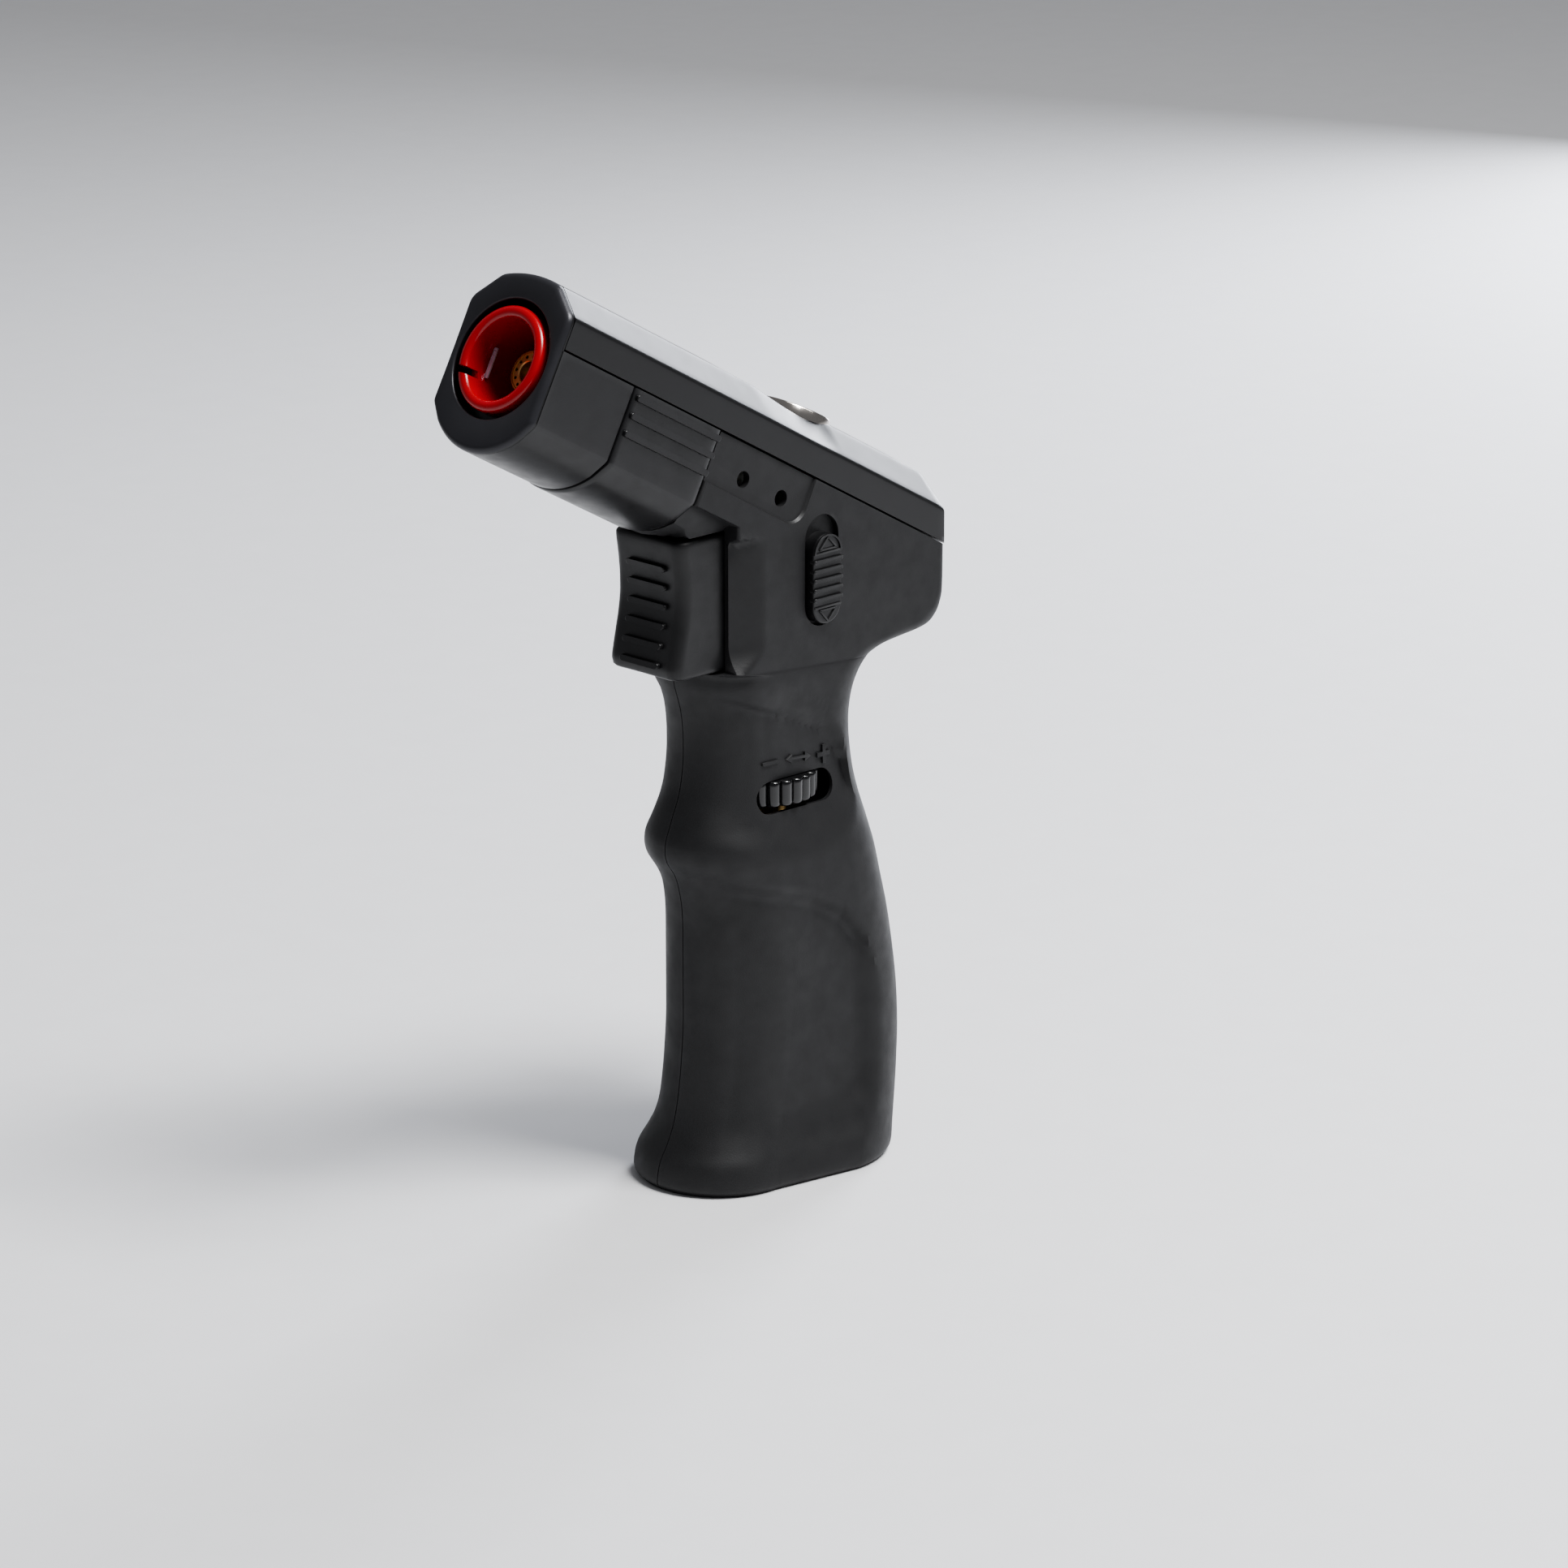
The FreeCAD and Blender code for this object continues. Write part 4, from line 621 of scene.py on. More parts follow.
def throat(name, sign):
    """The hollow underside between the barrel's flat side and the top of the trigger."""
    rows = []
    for step in range(15):
        along = HOUSING_START + 12.6 * step / 14
        low = (105.95 - RIM_Z + along * SIN) / COS
        low = min(-8.5, max(low, -BELLY_DOWN + 0.15))
        row = [(0.1, -7.9), (10.4, -7.9), (10.5, -8.45)]
        for turn in range(9):
            angle = math.pi / 2 * turn / 8
            row.append((10.3 - 2.9 * math.sin(angle), -8.5 + (low + 8.5) * (1 - math.cos(angle))))
        row += [(across, low) for across in (7.3, 5.6, 3.8, 2.0, 0.1)]
        grow = 8 * ease(along, 40, 44)
        rows.append([barrel(along, sign * across, max(up, belly_at(across) - grow))
                     for across, up in row])
    return loft(name, rows)


def raised_signs(ground):
    """The plus, minus and double arrow over the flame wheel's window, laid on the housing."""
    shapes = [box_outline(-10.4, -7.0, 67.85, 68.4, 0.2)]
    shapes.append([(-5.5, 67.95), (-4.3, 68.6), (-4.3, 68.15), (-1.5, 68.0), (-1.5, 68.45), (-0.2, 67.6),
                   (-1.5, 67.0), (-1.5, 67.5), (-4.3, 67.65), (-4.3, 67.2)])
    plus = []
    for x, z in ((-0.36, -1.5), (0.36, -1.5), (0.36, -0.36), (1.5, -0.36), (1.5, 0.36), (0.36, 0.36),
                 (0.36, 1.5), (-0.36, 1.5), (-0.36, 0.36), (-1.5, 0.36), (-1.5, -0.36), (-0.36, -0.36)):
        plus.append((2.6 + x, 67.3 + z))
    shapes.append(plus)

    def laid(x, z, depth):
        """A place on the housing's left face, found by looking across from outside."""
        hit, place, _, _ = ground.ray_cast(world(x, -20, z), (0, 1, 0))
        if not hit:
            raise RuntimeError("a sign misses the housing")
        return Vector((place.x, place.y - depth * MM, place.z))

    stand = bpy.context.scene.torch_sizes.sign_stand / MM
    return [outline_prism(f"sign_{count}", outline, laid, -0.5, stand, 0.1)
            for count, outline in enumerate(shapes)]


def side_cutters(sign):
    """Air inlets and the sunk panel, the same on both sides."""
    side = on_barrel_side(sign)
    cutters = []
    for count in range(2):
        inlet = circle(INLET_FIRST + INLET_PITCH * count, INLET_UP, INLET_RADIUS, 15, 7)
        cutters.append(outline_prism(f"inlet_{count}", inlet, side, 9.0, 12.5))
    cutters.append(flared(f"panel_{sign + 1}", panel_outline(), side, BODY_HALF - 0.42, 0.45))
    return cutters


def panel_outline():
    """Outline of the sunk panel round the air inlets."""
    points = [(36.0, 4.5), (36.0, -4.4)]
    for step in range(9):
        turn = math.radians(-90 + 90 * step / 8)
        points.append((56.6 + 2.8 * math.cos(turn), -1.6 + 2.8 * math.sin(turn)))
    points.append((59.4, 4.5))
    return points


def flared(name, outline, place, floor, flare):
    """A cutter for a sunk panel whose walls lean outwards."""
    centre = [sum(point[axis] for point in outline) / len(outline) for axis in (0, 1)]
    rows = []
    for depth, grow in ((floor, 0.0), (floor + 0.5, flare), (floor + 3, flare * 6)):
        row = []
        for x, y in outline:
            reach = math.dist((x, y), centre)
            share = 1 + grow / reach
            row.append(place(centre[0] + (x - centre[0]) * share,
                             centre[1] + (y - centre[1]) * share, depth))
        rows.append(row)
    return loft(name, rows)


def build_housing(sign):
    """One housing half: -1 is the torch's left, 1 its right."""
    side_name = "left" if sign < 0 else "right"
    piece = housing_skin(f"{side_name}_half", sign)
    side = on_side(sign)
    slot = [(-40, 83.7), (-8.4, 83.7), (-8.4, 105.9), (-40, 105.9)]
    cutters = side_cutters(sign)
    cutters.append(outline_prism(f"trigger_room_{side_name}", slot, side, -1, 7.7))
    if sign < 0:
        window = [(x, z) for z, x in stadium(62.6, -3.7, 2.55, 7.95)]
        cutters.append(outline_prism("wheel_opening", window, side, 5.0, OUTSIDE))
        cutters.append(outline_prism("slider_recess", stadium(0.8, 97.15, 3.6, 8.75), side, 9.75,
                                     OUTSIDE))
        cutters.append(outline_prism("slider_slot", stadium(0.8, 97.25, 1.75, 3.3), side, 7.5, OUTSIDE))
    else:
        for x, z in ((-11.5, 73.2), (23.2, 87.4)):
            cutters.append(outline_prism(f"screw_well_{x}", circle(x, z, 1.7, 12), side, 7.6, OUTSIDE))
    carve(piece, *cutters)
    pieces = [piece, throat(f"throat_{side_name}", sign)]
    if sign < 0:
        pieces += raised_signs(piece)
    whole = crisp(join(f"{side_name}_housing_shell", pieces), 38)
    return settle(whole, "frame", "housing_black", [f"{side_name}_housing"], LOOKS["housing_black"])


# ---------------------------------------------------------------- barrel pieces

def fillet_path(corners, steps=5):
    """A line of points through corners given as (x, y, radius), the corners rounded."""
    points = []
    for index, (x, y, radius) in enumerate(corners):
        if not radius or index in (0, len(corners) - 1):
            points.append((x, y))
            continue
        here = Vector((x, y))
        back = (Vector(corners[index - 1][:2]) - here).normalized()
        ahead = (Vector(corners[index + 1][:2]) - here).normalized()
        half = back.angle(ahead) / 2
        reach = radius / math.tan(half)
        centre = here + (back + ahead).normalized() * (radius / math.sin(half))
        start, end = here + back * reach - centre, here + ahead * reach - centre
        first, turn = math.atan2(start.y, start.x), start.angle_signed(end)
        for step in range(steps + 1):
            angle = first - turn * step / steps
            points.append((centre.x + radius * math.cos(angle), centre.y + radius * math.sin(angle)))
    return points


def spacing(points, gap):
    """How many steps each stretch of a line needs."""
    return [max(1, math.ceil(math.dist(a, b) / gap)) for a, b in zip(points, points[1:])]


def divide(points, counts):
    """The same line with each stretch cut into its number of steps."""
    result = [points[0]]
    for a, b, steps in zip(points, points[1:], counts):
        result += [(a[0] + (b[0] - a[0]) * step / steps, a[1] + (b[1] - a[1]) * step / steps)
                   for step in range(1, steps + 1)]
    return result


def belly_arc(half, flat, low, steps=30):
    """The round underside from the left edge to the right one."""
    depth = low - flat
    radius = (half * half + depth * depth) / (2 * depth)
    reach = math.asin(min(1, half / radius))
    return [(radius * math.sin(-reach + 2 * reach * step / steps),
             -low + radius - radius * math.cos(-reach + 2 * reach * step / steps))
            for step in range(steps + 1)]


def belly_path(half, flat, low, top, round_edge=1.3):
    """The lower outline with its corners rounded, before it is divided."""
    arc = belly_arc(half, flat, low)
    corners = [(-half, top, 0), (-half, -flat, round_edge)]
    corners += [(x, y, 0) for x, y in arc[4:-4]]
    corners += [(half, -flat, round_edge), (half, top, 0)]
    return fillet_path(corners)


def belly_line(*sizes):
    """The barrel's lower outline, from its left seam round the belly to its right one."""
    counts = spacing(belly_path(BODY_HALF, FLAT_DOWN, BELLY_DOWN, SEAM_UP), 1.2)
    return divide(belly_path(*sizes), counts)


def crown_path(half, chamfer, crown_half, crown, top, base, round_edge):
    """The slide's outline with its corners rounded, before it is divided."""
    rise = max(0.02, top - crown)
    radius = (crown_half ** 2 + rise ** 2) / (2 * rise)
    reach = math.asin(min(1, crown_half / radius))
    steps = 20
    arc = [(radius * math.sin(-reach + 2 * reach * step / steps),
            top - radius + radius * math.cos(-reach + 2 * reach * step / steps))
           for step in range(steps + 1)]
    corners = [(-half, base, 0), (-half, chamfer, round_edge), (-crown_half, crown, round_edge)]
    corners += [(x, y, 0) for x, y in arc[3:-3]]
    corners += [(crown_half, crown, round_edge), (half, chamfer, round_edge), (half, base, 0)]
    return fillet_path(corners)


def crown_line(*sizes):
    """The slide's outline, from its left lower edge over the crown to its right one."""
    counts = spacing(crown_path(BODY_HALF, CHAMFER_UP, CROWN_HALF, CROWN_UP, TOP_UP, 0.0, 1.0), 1.0)
    return divide(crown_path(*sizes), counts)


def slide_top(along):
    """Height of the slide's crown above the barrel axis."""
    return along_line([(0, 13.3), (34, 13.3), (38, 13.22), (43, 12.9), (50, 12.2), (55, 11.85),
                       (58, 11.85), (61, 12.5), (64, 13.15), (67, 13.3), (80, 13.3), (84, 13.1),
                       (86, 12.8), (88, 12.2), (92, 11.4)], along)


def slide_rows(inset):
    """Rows of (along, across, up, rear end) over the slide, drawn in by the inset."""
    rows = []
    steps = 96
    for step in range(steps + 1):
        row = []
        share = step / steps
        rough_along = SLIDE_START + (SLIDE_END - SLIDE_START) * share
        top = sum(slide_top(rough_along + shift) for shift in (-1.5, 0, 1.5)) / 3 - inset
        rear = REAR_X - inset
        line = crown_line(BODY_HALF - inset, CHAMFER_UP - inset / 2, CROWN_HALF - inset / 3,
                          min(CROWN_UP - inset, top - 0.25), top, SEAM_UP + SEAM_GAP,
                          1.0 if not inset else 0.3)
        for across, up in line:
            end = (rear - RIM_X - up * SIN) / COS
            along = SLIDE_START + (end - SLIDE_START) * share
            row.append((along, across, up, end))
        rows.append(row)
    return rows


def slide_shell():
    """The slide cover's shell, its rear edge rounded."""
    outer, inner = [], []
    for row in slide_rows(0.0):
        line = []
        for along, across, up, end in row:
            near = end - along
            if near < SLIDE_ROUND:
                pull = SLIDE_ROUND - math.sqrt(max(0.0, SLIDE_ROUND ** 2 - (SLIDE_ROUND - near) ** 2))
                pull *= 0.55
                across *= 1 - pull / BODY_HALF
                up -= pull * ease(up, SEAM_UP, CHAMFER_UP + 1)
            line.append(barrel(along, across, up))
        outer.append(line)
    for row in slide_rows(WALL):
        inner.append([barrel(along, across, up) for along, across, up, end in row])
    return shell("slide_shell", outer, inner, closed_end=True)


def build_slide():
    """The slide cover with the well for its badge."""
    piece = slide_shell()
    well = circle(BADGE_AT, 0, BADGE_RADIUS + 0.25, 5)
    carve(piece, outline_prism("badge_well", well, barrel, BADGE_FLOOR - 0.1, 15))
    crisp(piece, 40)
    return settle(piece, "frame", "slide_black", ["slide_cover"], LOOKS["slide_black"])


def build_badge():
    """The badge: a bright rim round a domed disc, both set in the slide's crown."""
    def place(up, a, b):
        return barrel(BADGE_AT + a, b, up)

    profile = [(BADGE_FLOOR, BADGE_RADIUS), (13.15, BADGE_RADIUS), (13.4, 5.8), (13.42, 5.5),
               (13.25, 5.3), (BADGE_FLOOR, 5.3)]
    rim = lathe("badge_ring", profile, place, 96)
    settle(crisp(rim, 40), "frame", "badge_metal", ["badge_rim"], LOOKS["badge_metal"])
    profile = [(11.5, 0.001), (11.5, 5.2), (12.95, 5.2)]
    for step in range(1, 13):
        turn = math.pi / 2 * step / 12
        profile.append((12.95 + 0.6 * math.sin(turn), max(0.001, 5.2 * math.cos(turn))))
    dome = lathe("badge_disc", profile, place, 96)
    settle(crisp(dome, 50), "frame", "badge_black", ["badge_dome"], LOOKS["badge_black"])


def full_outline():
    """The muzzle's whole outline as a closed ring."""
    low = belly_line(BODY_HALF, FLAT_DOWN, BELLY_DOWN, 0.0)
    high = crown_line(BODY_HALF, CHAMFER_UP, CROWN_HALF, CROWN_UP, TOP_UP, 0.0, 2.4)
    return low + [point for point in reversed(high[1:-1])]


def build_muzzle_cap():
    """The muzzle cap: a face with its hole, a web behind it and a skirt under the barrel."""
    ring = full_outline()
    hole = []
    for x, y in ring:
        turn = math.atan2(y, x)
        hole.append((MOUTH_RADIUS * math.cos(turn), MOUTH_RADIUS * math.sin(turn)))

    def widened(extra=0.0):
        """The hole's edge, made larger."""
        return [(x + extra * x / MOUTH_RADIUS, y + extra * y / MOUTH_RADIUS) for x, y in hole]

    def inset(amount):
        """The outline, drawn in towards the hole."""
        rows = []
        for (hx, hy), (x, y) in zip(hole, ring):
            reach = math.dist((hx, hy), (x, y))
            share = 1 - min(amount, reach * 0.8) / reach
            rows.append((hx + (x - hx) * share, hy + (y - hy) * share))
        return rows

    def at(along, line):
        """The outline set square to the barrel at one place along it."""
        return [barrel(along, y, up) for y, up in line]

    rows = [at(0.7, widened()), at(0.2, widened()), at(-0.15, widened(0.03)), at(-0.36, widened(0.12)),
            at(-0.48, widened(0.3))]
    edge = 1.05
    for step in range(8):
        turn = math.pi / 2 * step / 7
        rows.append(at(-0.5 + edge * (1 - math.cos(turn)), inset(edge * (1 - math.sin(turn)))))
    rows.append(at(0.7, ring))
    rows.append(at(0.7, inset(0.4)))
    rows.append(rows[0])
    face = loft("cap_face", rows, ring=True, caps=False)
    line = belly_line(BODY_HALF, FLAT_DOWN, BELLY_DOWN, SEAM_UP - SEAM_GAP)
    inside = belly_line(BODY_HALF - WALL, FLAT_DOWN - 0.4, BELLY_DOWN - WALL, SEAM_UP - SEAM_GAP, 0.6)
    places = [0.55, 2, 4, 6, 8, 10, 12, 14, 16, 16.5, CAP_END]
    tuck = [0] * 9 + [0.0, 0.15]
    outer = []
    for along, pull in zip(places, tuck):
        share = 1 - pull / 11
        outer.append([barrel(along, y * share, up * share if up < 0 else up) for y, up in line])
    inner = [[barrel(along, y, up) for y, up in inside] for along in places]
    skirt = shell("cap_skirt", outer, inner, closed_end=False)
    web = outline_prism("cap_web", [(x * 0.9, max(-13.2, min(2.9, y))) for x, y in ring],
                        across_barrel, 1.75, 3.1)
    carve(web, outline_prism("web_hole", circle(0, 0, 7.5, 6), across_barrel, 0, 5))
    piece = join("muzzle_front", [face, skirt, web])
    settle(crisp(piece, 35), "frame", "muzzle_black", ["muzzle_cap"], LOOKS["muzzle_black"],
           LOOKS["muzzle_face"])
    front = barrel(-0.35, 0, 0)
    axis = (barrel(1, 0, 0) - barrel(0, 0, 0)).normalized()
    # The front faces take the second look.
    for polygon in piece.data.polygons:
        if (polygon.center - front).dot(axis) < 0.0006 and polygon.normal.dot(-axis) > 0.25:
            polygon.material_index = 1
    return piece


def build_barrel_cover():
    """The ribbed cover under the barrel, closed at its rear."""
    line = belly_line(BODY_HALF + COVER_STEP, FLAT_DOWN + COVER_STEP, BELLY_DOWN + COVER_STEP,
                      SEAM_UP - SEAM_GAP, 1.0)
    inside = belly_line(BODY_HALF - WALL, FLAT_DOWN - 0.4, BELLY_DOWN - WALL, SEAM_UP - SEAM_GAP, 0.6)
    places = [(COVER_START, 0.35), (COVER_START + 0.12, 0.12), (COVER_START + 0.4, 0)]
    places += [(18 + 2 * index, 0) for index in range(9)]
    places += [(COVER_END - 1.4, 0), (COVER_END - 0.8, 0.05), (COVER_END - 0.35, 0.16),
               (COVER_END - 0.1, 0.4), (COVER_END, 0.75)]
    outer, inner = [], []
    for index, (along, pull) in enumerate(places):
        share = 1 - pull / 11
        outer.append([barrel(along, y * share, up * share if up < 0 else up) for y, up in line])
        behind = index / (len(places) - 1)
        inner.append([barrel(COVER_START + (COVER_END - 1.4 - COVER_START) * behind, y, up)
                      for y, up in inside])
    skin = shell("cover_skin", outer, inner, closed_end=True)
    pieces = [skin]
    stand = bpy.context.scene.torch_sizes.rib_stand / MM
    for sign in (-1, 1):
        side = on_barrel_side(sign)
        for place in range(3):
            up = RIB_TOP - RIB_PITCH * place
            outline = box_outline(COVER_START + 0.5, COVER_END - 0.25, up - RIB_HALF, up + RIB_HALF,
                                  0.45, 6)
            pieces.append(outline_prism(f"finger_rib_{place}_{sign + 1}", outline, side,
                                        BODY_HALF - 0.2, BODY_HALF + COVER_STEP + stand, 0.18, 3))
    piece = crisp(join("ribbed_cover", pieces), 34)
    return settle(piece, "frame", "muzzle_black", ["barrel_cover"], LOOKS["muzzle_black"])


def build_cup():
    """The red flame cup, with the notch in its rim."""
    profile = [(1.6, 8.2), (0.2, 8.2)]
    for step in range(9):
        turn = math.pi * step / 8
        profile.append((-0.15 - 0.75 * math.sin(turn), 7.3 + 0.9 * math.cos(turn)))
    profile += [(0.3, 6.36), (1.2, 6.2), (4.0, 6.05), (9.5, 5.6), (10.6, 5.2), (11.0, 4.6), (11.0, 3.6),
                (13.0, 3.6), (13.0, 7.4), (1.6, 7.4)]
    piece = lathe("red_cup", profile + [profile[0]], barrel, 128)
    notch = box_outline(5.2, 9.5, -3.4, -2.3)
    carve(piece, outline_prism("cup_notch", notch, across_barrel, -2.0, 1.7))
    rounded(piece, 0.08, 2, 50)
    return settle(piece, "frame", "cup_red", ["nozzle_cup"], LOOKS["cup_red"])


def build_burner():
    """The brass burner, with its ring of small flame holes."""
    profile = [(23.5, 3.5), (6.0, 3.5), (5.75, 3.42), (5.5, 3.15), (5.5, 3.0), (5.68, 2.92),
               (5.68, 1.95), (5.5, 1.87), (5.5, 1.75), (5.65, 1.6), (9.5, 1.6), (9.8, 0.8),
               (24.4, 0.8), (24.4, 3.5)]
    piece = lathe("burner_head", profile + [profile[0]], barrel, 96)
    holes = []
    for place in range(12):
        turn = place * math.pi / 6
        y, up = 2.43 * math.cos(turn), 2.43 * math.sin(turn)
        holes.append(outline_prism(f"port_{place}", circle(y, up, 0.26, 30), across_barrel, 5, 8))
    carve(piece, join("ports", holes))
    return settle(crisp(piece, 35), "frame", "brass", ["burner_nozzle"], LOOKS["brass"])


def build_electrode():
    """The spark strip, which comes in by the cup's notch."""
    bars = ((4.8, 5.5, -2.75, 2.0, 2.9, 3.15), (5.2, 7.0, -2.75, -2.15, 2.9, 3.15),
            (6.45, 7.05, -2.75, -2.15, 3.0, 12.0))
    pieces = []
    for count, (near, far, low, high, start, end) in enumerate(bars):
        outline = box_outline(near, far, low, high, 0.12, 4)
        pieces.append(outline_prism(f"strip_{count}", outline, across_barrel, end, start, 0.06))
    piece = crisp(join("spark_strip", pieces), 40)
    return settle(piece, "frame", "electrode_steel", ["electrode"], LOOKS["electrode_steel"])


# ---------------------------------------------------------------- controls

def trigger_front(z):
    """X of the trigger's finger face at a height."""
    return along_line([(84.0, -26.5), (84.4, -27.1), (85.2, -27.3), (86.2, -27.1), (89.3, -26.45),
                       (92.4, -25.75), (95.3, -25.35), (98.2, -25.35), (100.9, -25.6), (103.5, -25.95),
                       (105.0, -26.2), (105.6, -26.0)], z)


def build_trigger():
    """The trigger pad with its bars, and the tongue that pushes the gas lever."""
    rows = []
    heights = [84.0, 84.05, 84.2, 84.5, 84.9] + [85.4 + 19.6 * step / 34 for step in range(35)]
    heights += [105.2, 105.4, 105.52, 105.6]
    for z in heights:
        near = min(z - TRIGGER_LOW, TRIGGER_HIGH - z)
        tuck = 0.7 - math.sqrt(max(0.0, 0.49 - max(0.0, 0.7 - near) ** 2))
        front = sum(trigger_front(z + shift) for shift in (-0.8, 0, 0.8)) / 3 + tuck
        wide = TRIGGER_HALF - tuck * 0.9
        low_rear = 1.8 - math.sqrt(max(0.0, 1.8 ** 2 - max(0.0, 1.8 - (z - TRIGGER_LOW)) ** 2))
        edge = TRIGGER_REAR - low_rear
        corner = 2.0
        line = [(edge, -wide)]
        line += [(edge + (front + corner - edge) * step / 8, -wide) for step in range(1, 8)]
        for step in range(13):
            turn = math.pi / 2 * step / 12
            line.append((front + corner * (1 - math.sin(turn)), -wide + corner * (1 - math.cos(turn))))
        for step in range(1, 12):
            line.append((front + 0.12 * math.sin(math.pi * step / 12),
                         -wide + corner + (wide - corner) * 2 * step / 12))
        for step in range(13):
            turn = math.pi / 2 * (1 - step / 12)
            line.append((front + corner * (1 - math.sin(turn)), wide - corner * (1 - math.cos(turn))))
        line += [(edge + (front + corner - edge) * (1 - step / 8), wide) for step in range(1, 9)]
        rows.append([world(x, y, z) for x, y in line])
    pieces = [loft("trigger_pad", rows)]
    stand = bpy.context.scene.torch_sizes.bar_stand / MM
    for place in range(6):
        z = 100.9 - 2.95 * place
        face = trigger_front(z)
        lean = (trigger_front(z + 0.5) - trigger_front(z - 0.5))
        outline = box_outline(-4.15, 4.15, -0.45, 0.45, 0.44, 6)
        pieces.append(outline_prism(
            f"trigger_bar_{place}", outline,
            lambda y, up, depth, z=z, face=face, lean=lean: world(face - depth + up * lean, y, z + up),
            -0.6, stand, 0.2, 4))
    tongue = outline_prism("tongue", box_outline(-14.6, 0.2, 94.0, 95.6, 0.3), on_side(1), -3.1, -0.1)
    pieces.append(tongue)
    piece = crisp(join("trigger_body", pieces), 36)
    return settle(piece, "trigger", "trigger_black", ["trigger"], LOOKS["trigger_black"])


def line_strip(points, half):
    """Outline of an even-width line through the points."""
    left, right = [], []
    for index, point in enumerate(points):
        here = Vector(point)
        back = Vector(points[max(0, index - 1)])
        ahead = Vector(points[min(len(points) - 1, index + 1)])
        way = (ahead - back).normalized()
        normal = Vector((-way.y, way.x))
        if 0 < index < len(points) - 1:
            first = (here - back).normalized()
            spread = 1 / max(0.5, math.cos(first.angle(way)))
        else:
            spread = 1
        left.append(tuple(here + normal * half * spread))
        right.append(tuple(here - normal * half * spread))
    return left + right[::-1]


def build_slider():
    """The safety slider's knob, with its ribs and its two triangles."""
    mid, low, high = 0.8, 88.9, 103.1
    centre = (low + high) / 2
    half = 3.0
    side = on_side(-1)
    body = outline_prism("knob_body", stadium(mid, centre, half, (high - low) / 2, 18), side, 9.65, 12.0,
                         0.35, 4)
    stem = outline_prism("knob_stem", stadium(mid, centre, 1.4, 1.4, 12), side, 8.45, 9.9)
    pieces = [body, stem]
    for place in range(5):
        z = centre + 1.5 * (2 - place)
        outline = box_outline(mid - half - 0.12, mid + half + 0.12, z - 0.34, z + 0.34, 0.3, 5)
        pieces.append(outline_prism(f"knob_rib_{place}", outline, side, 11.3, 12.4, 0.25, 4))
    for end in (1, -1):
        line_z = centre + end * 4.25
        bar = box_outline(mid - half + 0.15, mid + half - 0.15, line_z - 0.16, line_z + 0.16, 0.1, 3)
        pieces.append(outline_prism(f"knob_line_{end + 1}", bar, side, 11.8, 12.22, 0.1))
        base_z, tip_z = centre + end * 4.75, centre + end * 6.6
        corners = [(mid - 1.75, base_z), (mid, tip_z), (mid + 1.75, base_z), (mid - 1.75, base_z)]
        for index in range(3):
            strip = line_strip(corners[index:index + 2], 0.13)
            pieces.append(outline_prism(f"knob_triangle_{end + 1}_{index}", strip, side,
                                        11.8, 12.22, 0.06))
    rim = [(mid + (half - 0.18) * math.cos(math.radians(turn)),
            high - half + (half - 0.18) * math.sin(math.radians(turn))) for turn in range(0, 181, 12)]
    pieces.append(outline_prism("knob_arch", line_strip(rim, 0.14), side, 11.8, 12.24, 0.06))
    piece = crisp(join("slider_knob", pieces), 36)
    return settle(piece, "slider", "slider_black", ["safety_slider"], LOOKS["slider_black"])


def build_wheel():
    """The lobed flame wheel."""
    sizes = bpy.context.scene.torch_sizes
    teeth, top, low = sizes.wheel_lobes, WHEEL_TOP, WHEEL_LOW
    full = sizes.wheel_radius / MM
    steps = teeth * 12
    bands = [(low, -0.9), (low, -0.35), (low + 0.12, -0.12), (low + 0.4, 0.0), (low + 1.2, 0.0),
             (low + 2.2, 0.0), (low + 3.2, 0.0), (top - 0.4, 0.0), (top - 0.12, -0.12),
             (top, -0.35), (top, -0.9)]
    rows = []
    for z, tuck in bands:
        row = []
        for step in range(steps):
            turn = 2 * math.pi * step / steps
            wave = abs(math.sin(turn * teeth / 2))
            radius = full - 0.75 * (1 - wave ** 0.55) + tuck
            row.append(world(WHEEL_X + radius * math.cos(turn), WHEEL_Y + radius * math.sin(turn), z))
        rows.append(row)
    turns = [2 * math.pi * step / steps for step in range(steps)]
    for z in (top, low):
        rows.append([world(WHEEL_X + WHEEL_BORE * math.cos(turn),
                           WHEEL_Y + WHEEL_BORE * math.sin(turn), z) for turn in turns])
    rows.append(rows[0])
    piece = loft("lobed_wheel", rows, ring=True, caps=False)
    return settle(crisp(piece, 50), "wheel", "wheel_black", ["flame_wheel"], LOOKS["wheel_black"])


INNER_LOOKS = {
    "fuel_tank": "tank_plastic", "tank_lid": "tank_plastic", "outlet_valve_body": "brass",
    "stem_seal": "rubber_black", "outlet_stem": "brass", "outlet_spring": "spring_steel",
    "filter_wick": "felt", "wheel_clip": "spring_steel", "gas_lever": "lever_plastic",
    "lever_pin": "spring_steel", "trigger_spring": "spring_steel", "piezo_plunger": "lever_plastic",
    "piezo_body": "piezo_plastic", "piezo_end_cap": "brass", "piezo_spring": "spring_steel",
    "slider_lock_plate": "slider_black", "mixing_tube": "spring_steel", "jet_holder": "brass",
    "electrode_insulator": "ceramic", "refill_valve_body": "brass",
    "refill_stem": "brass", "refill_spring": "spring_steel", "housing_screws": "spring_steel",
    "gas_hose": "hose", "ignition_wire": "wire_sheath",
}


def finish_inner_pieces():
    """Gives the pieces carried over from the frame their looks."""
    for name, look in INNER_LOOKS.items():
        node = frame["nodes"][name]
        node.data.materials.clear()
        node.data.materials.append(LOOKS[look])


# ---------------------------------------------------------------- stage

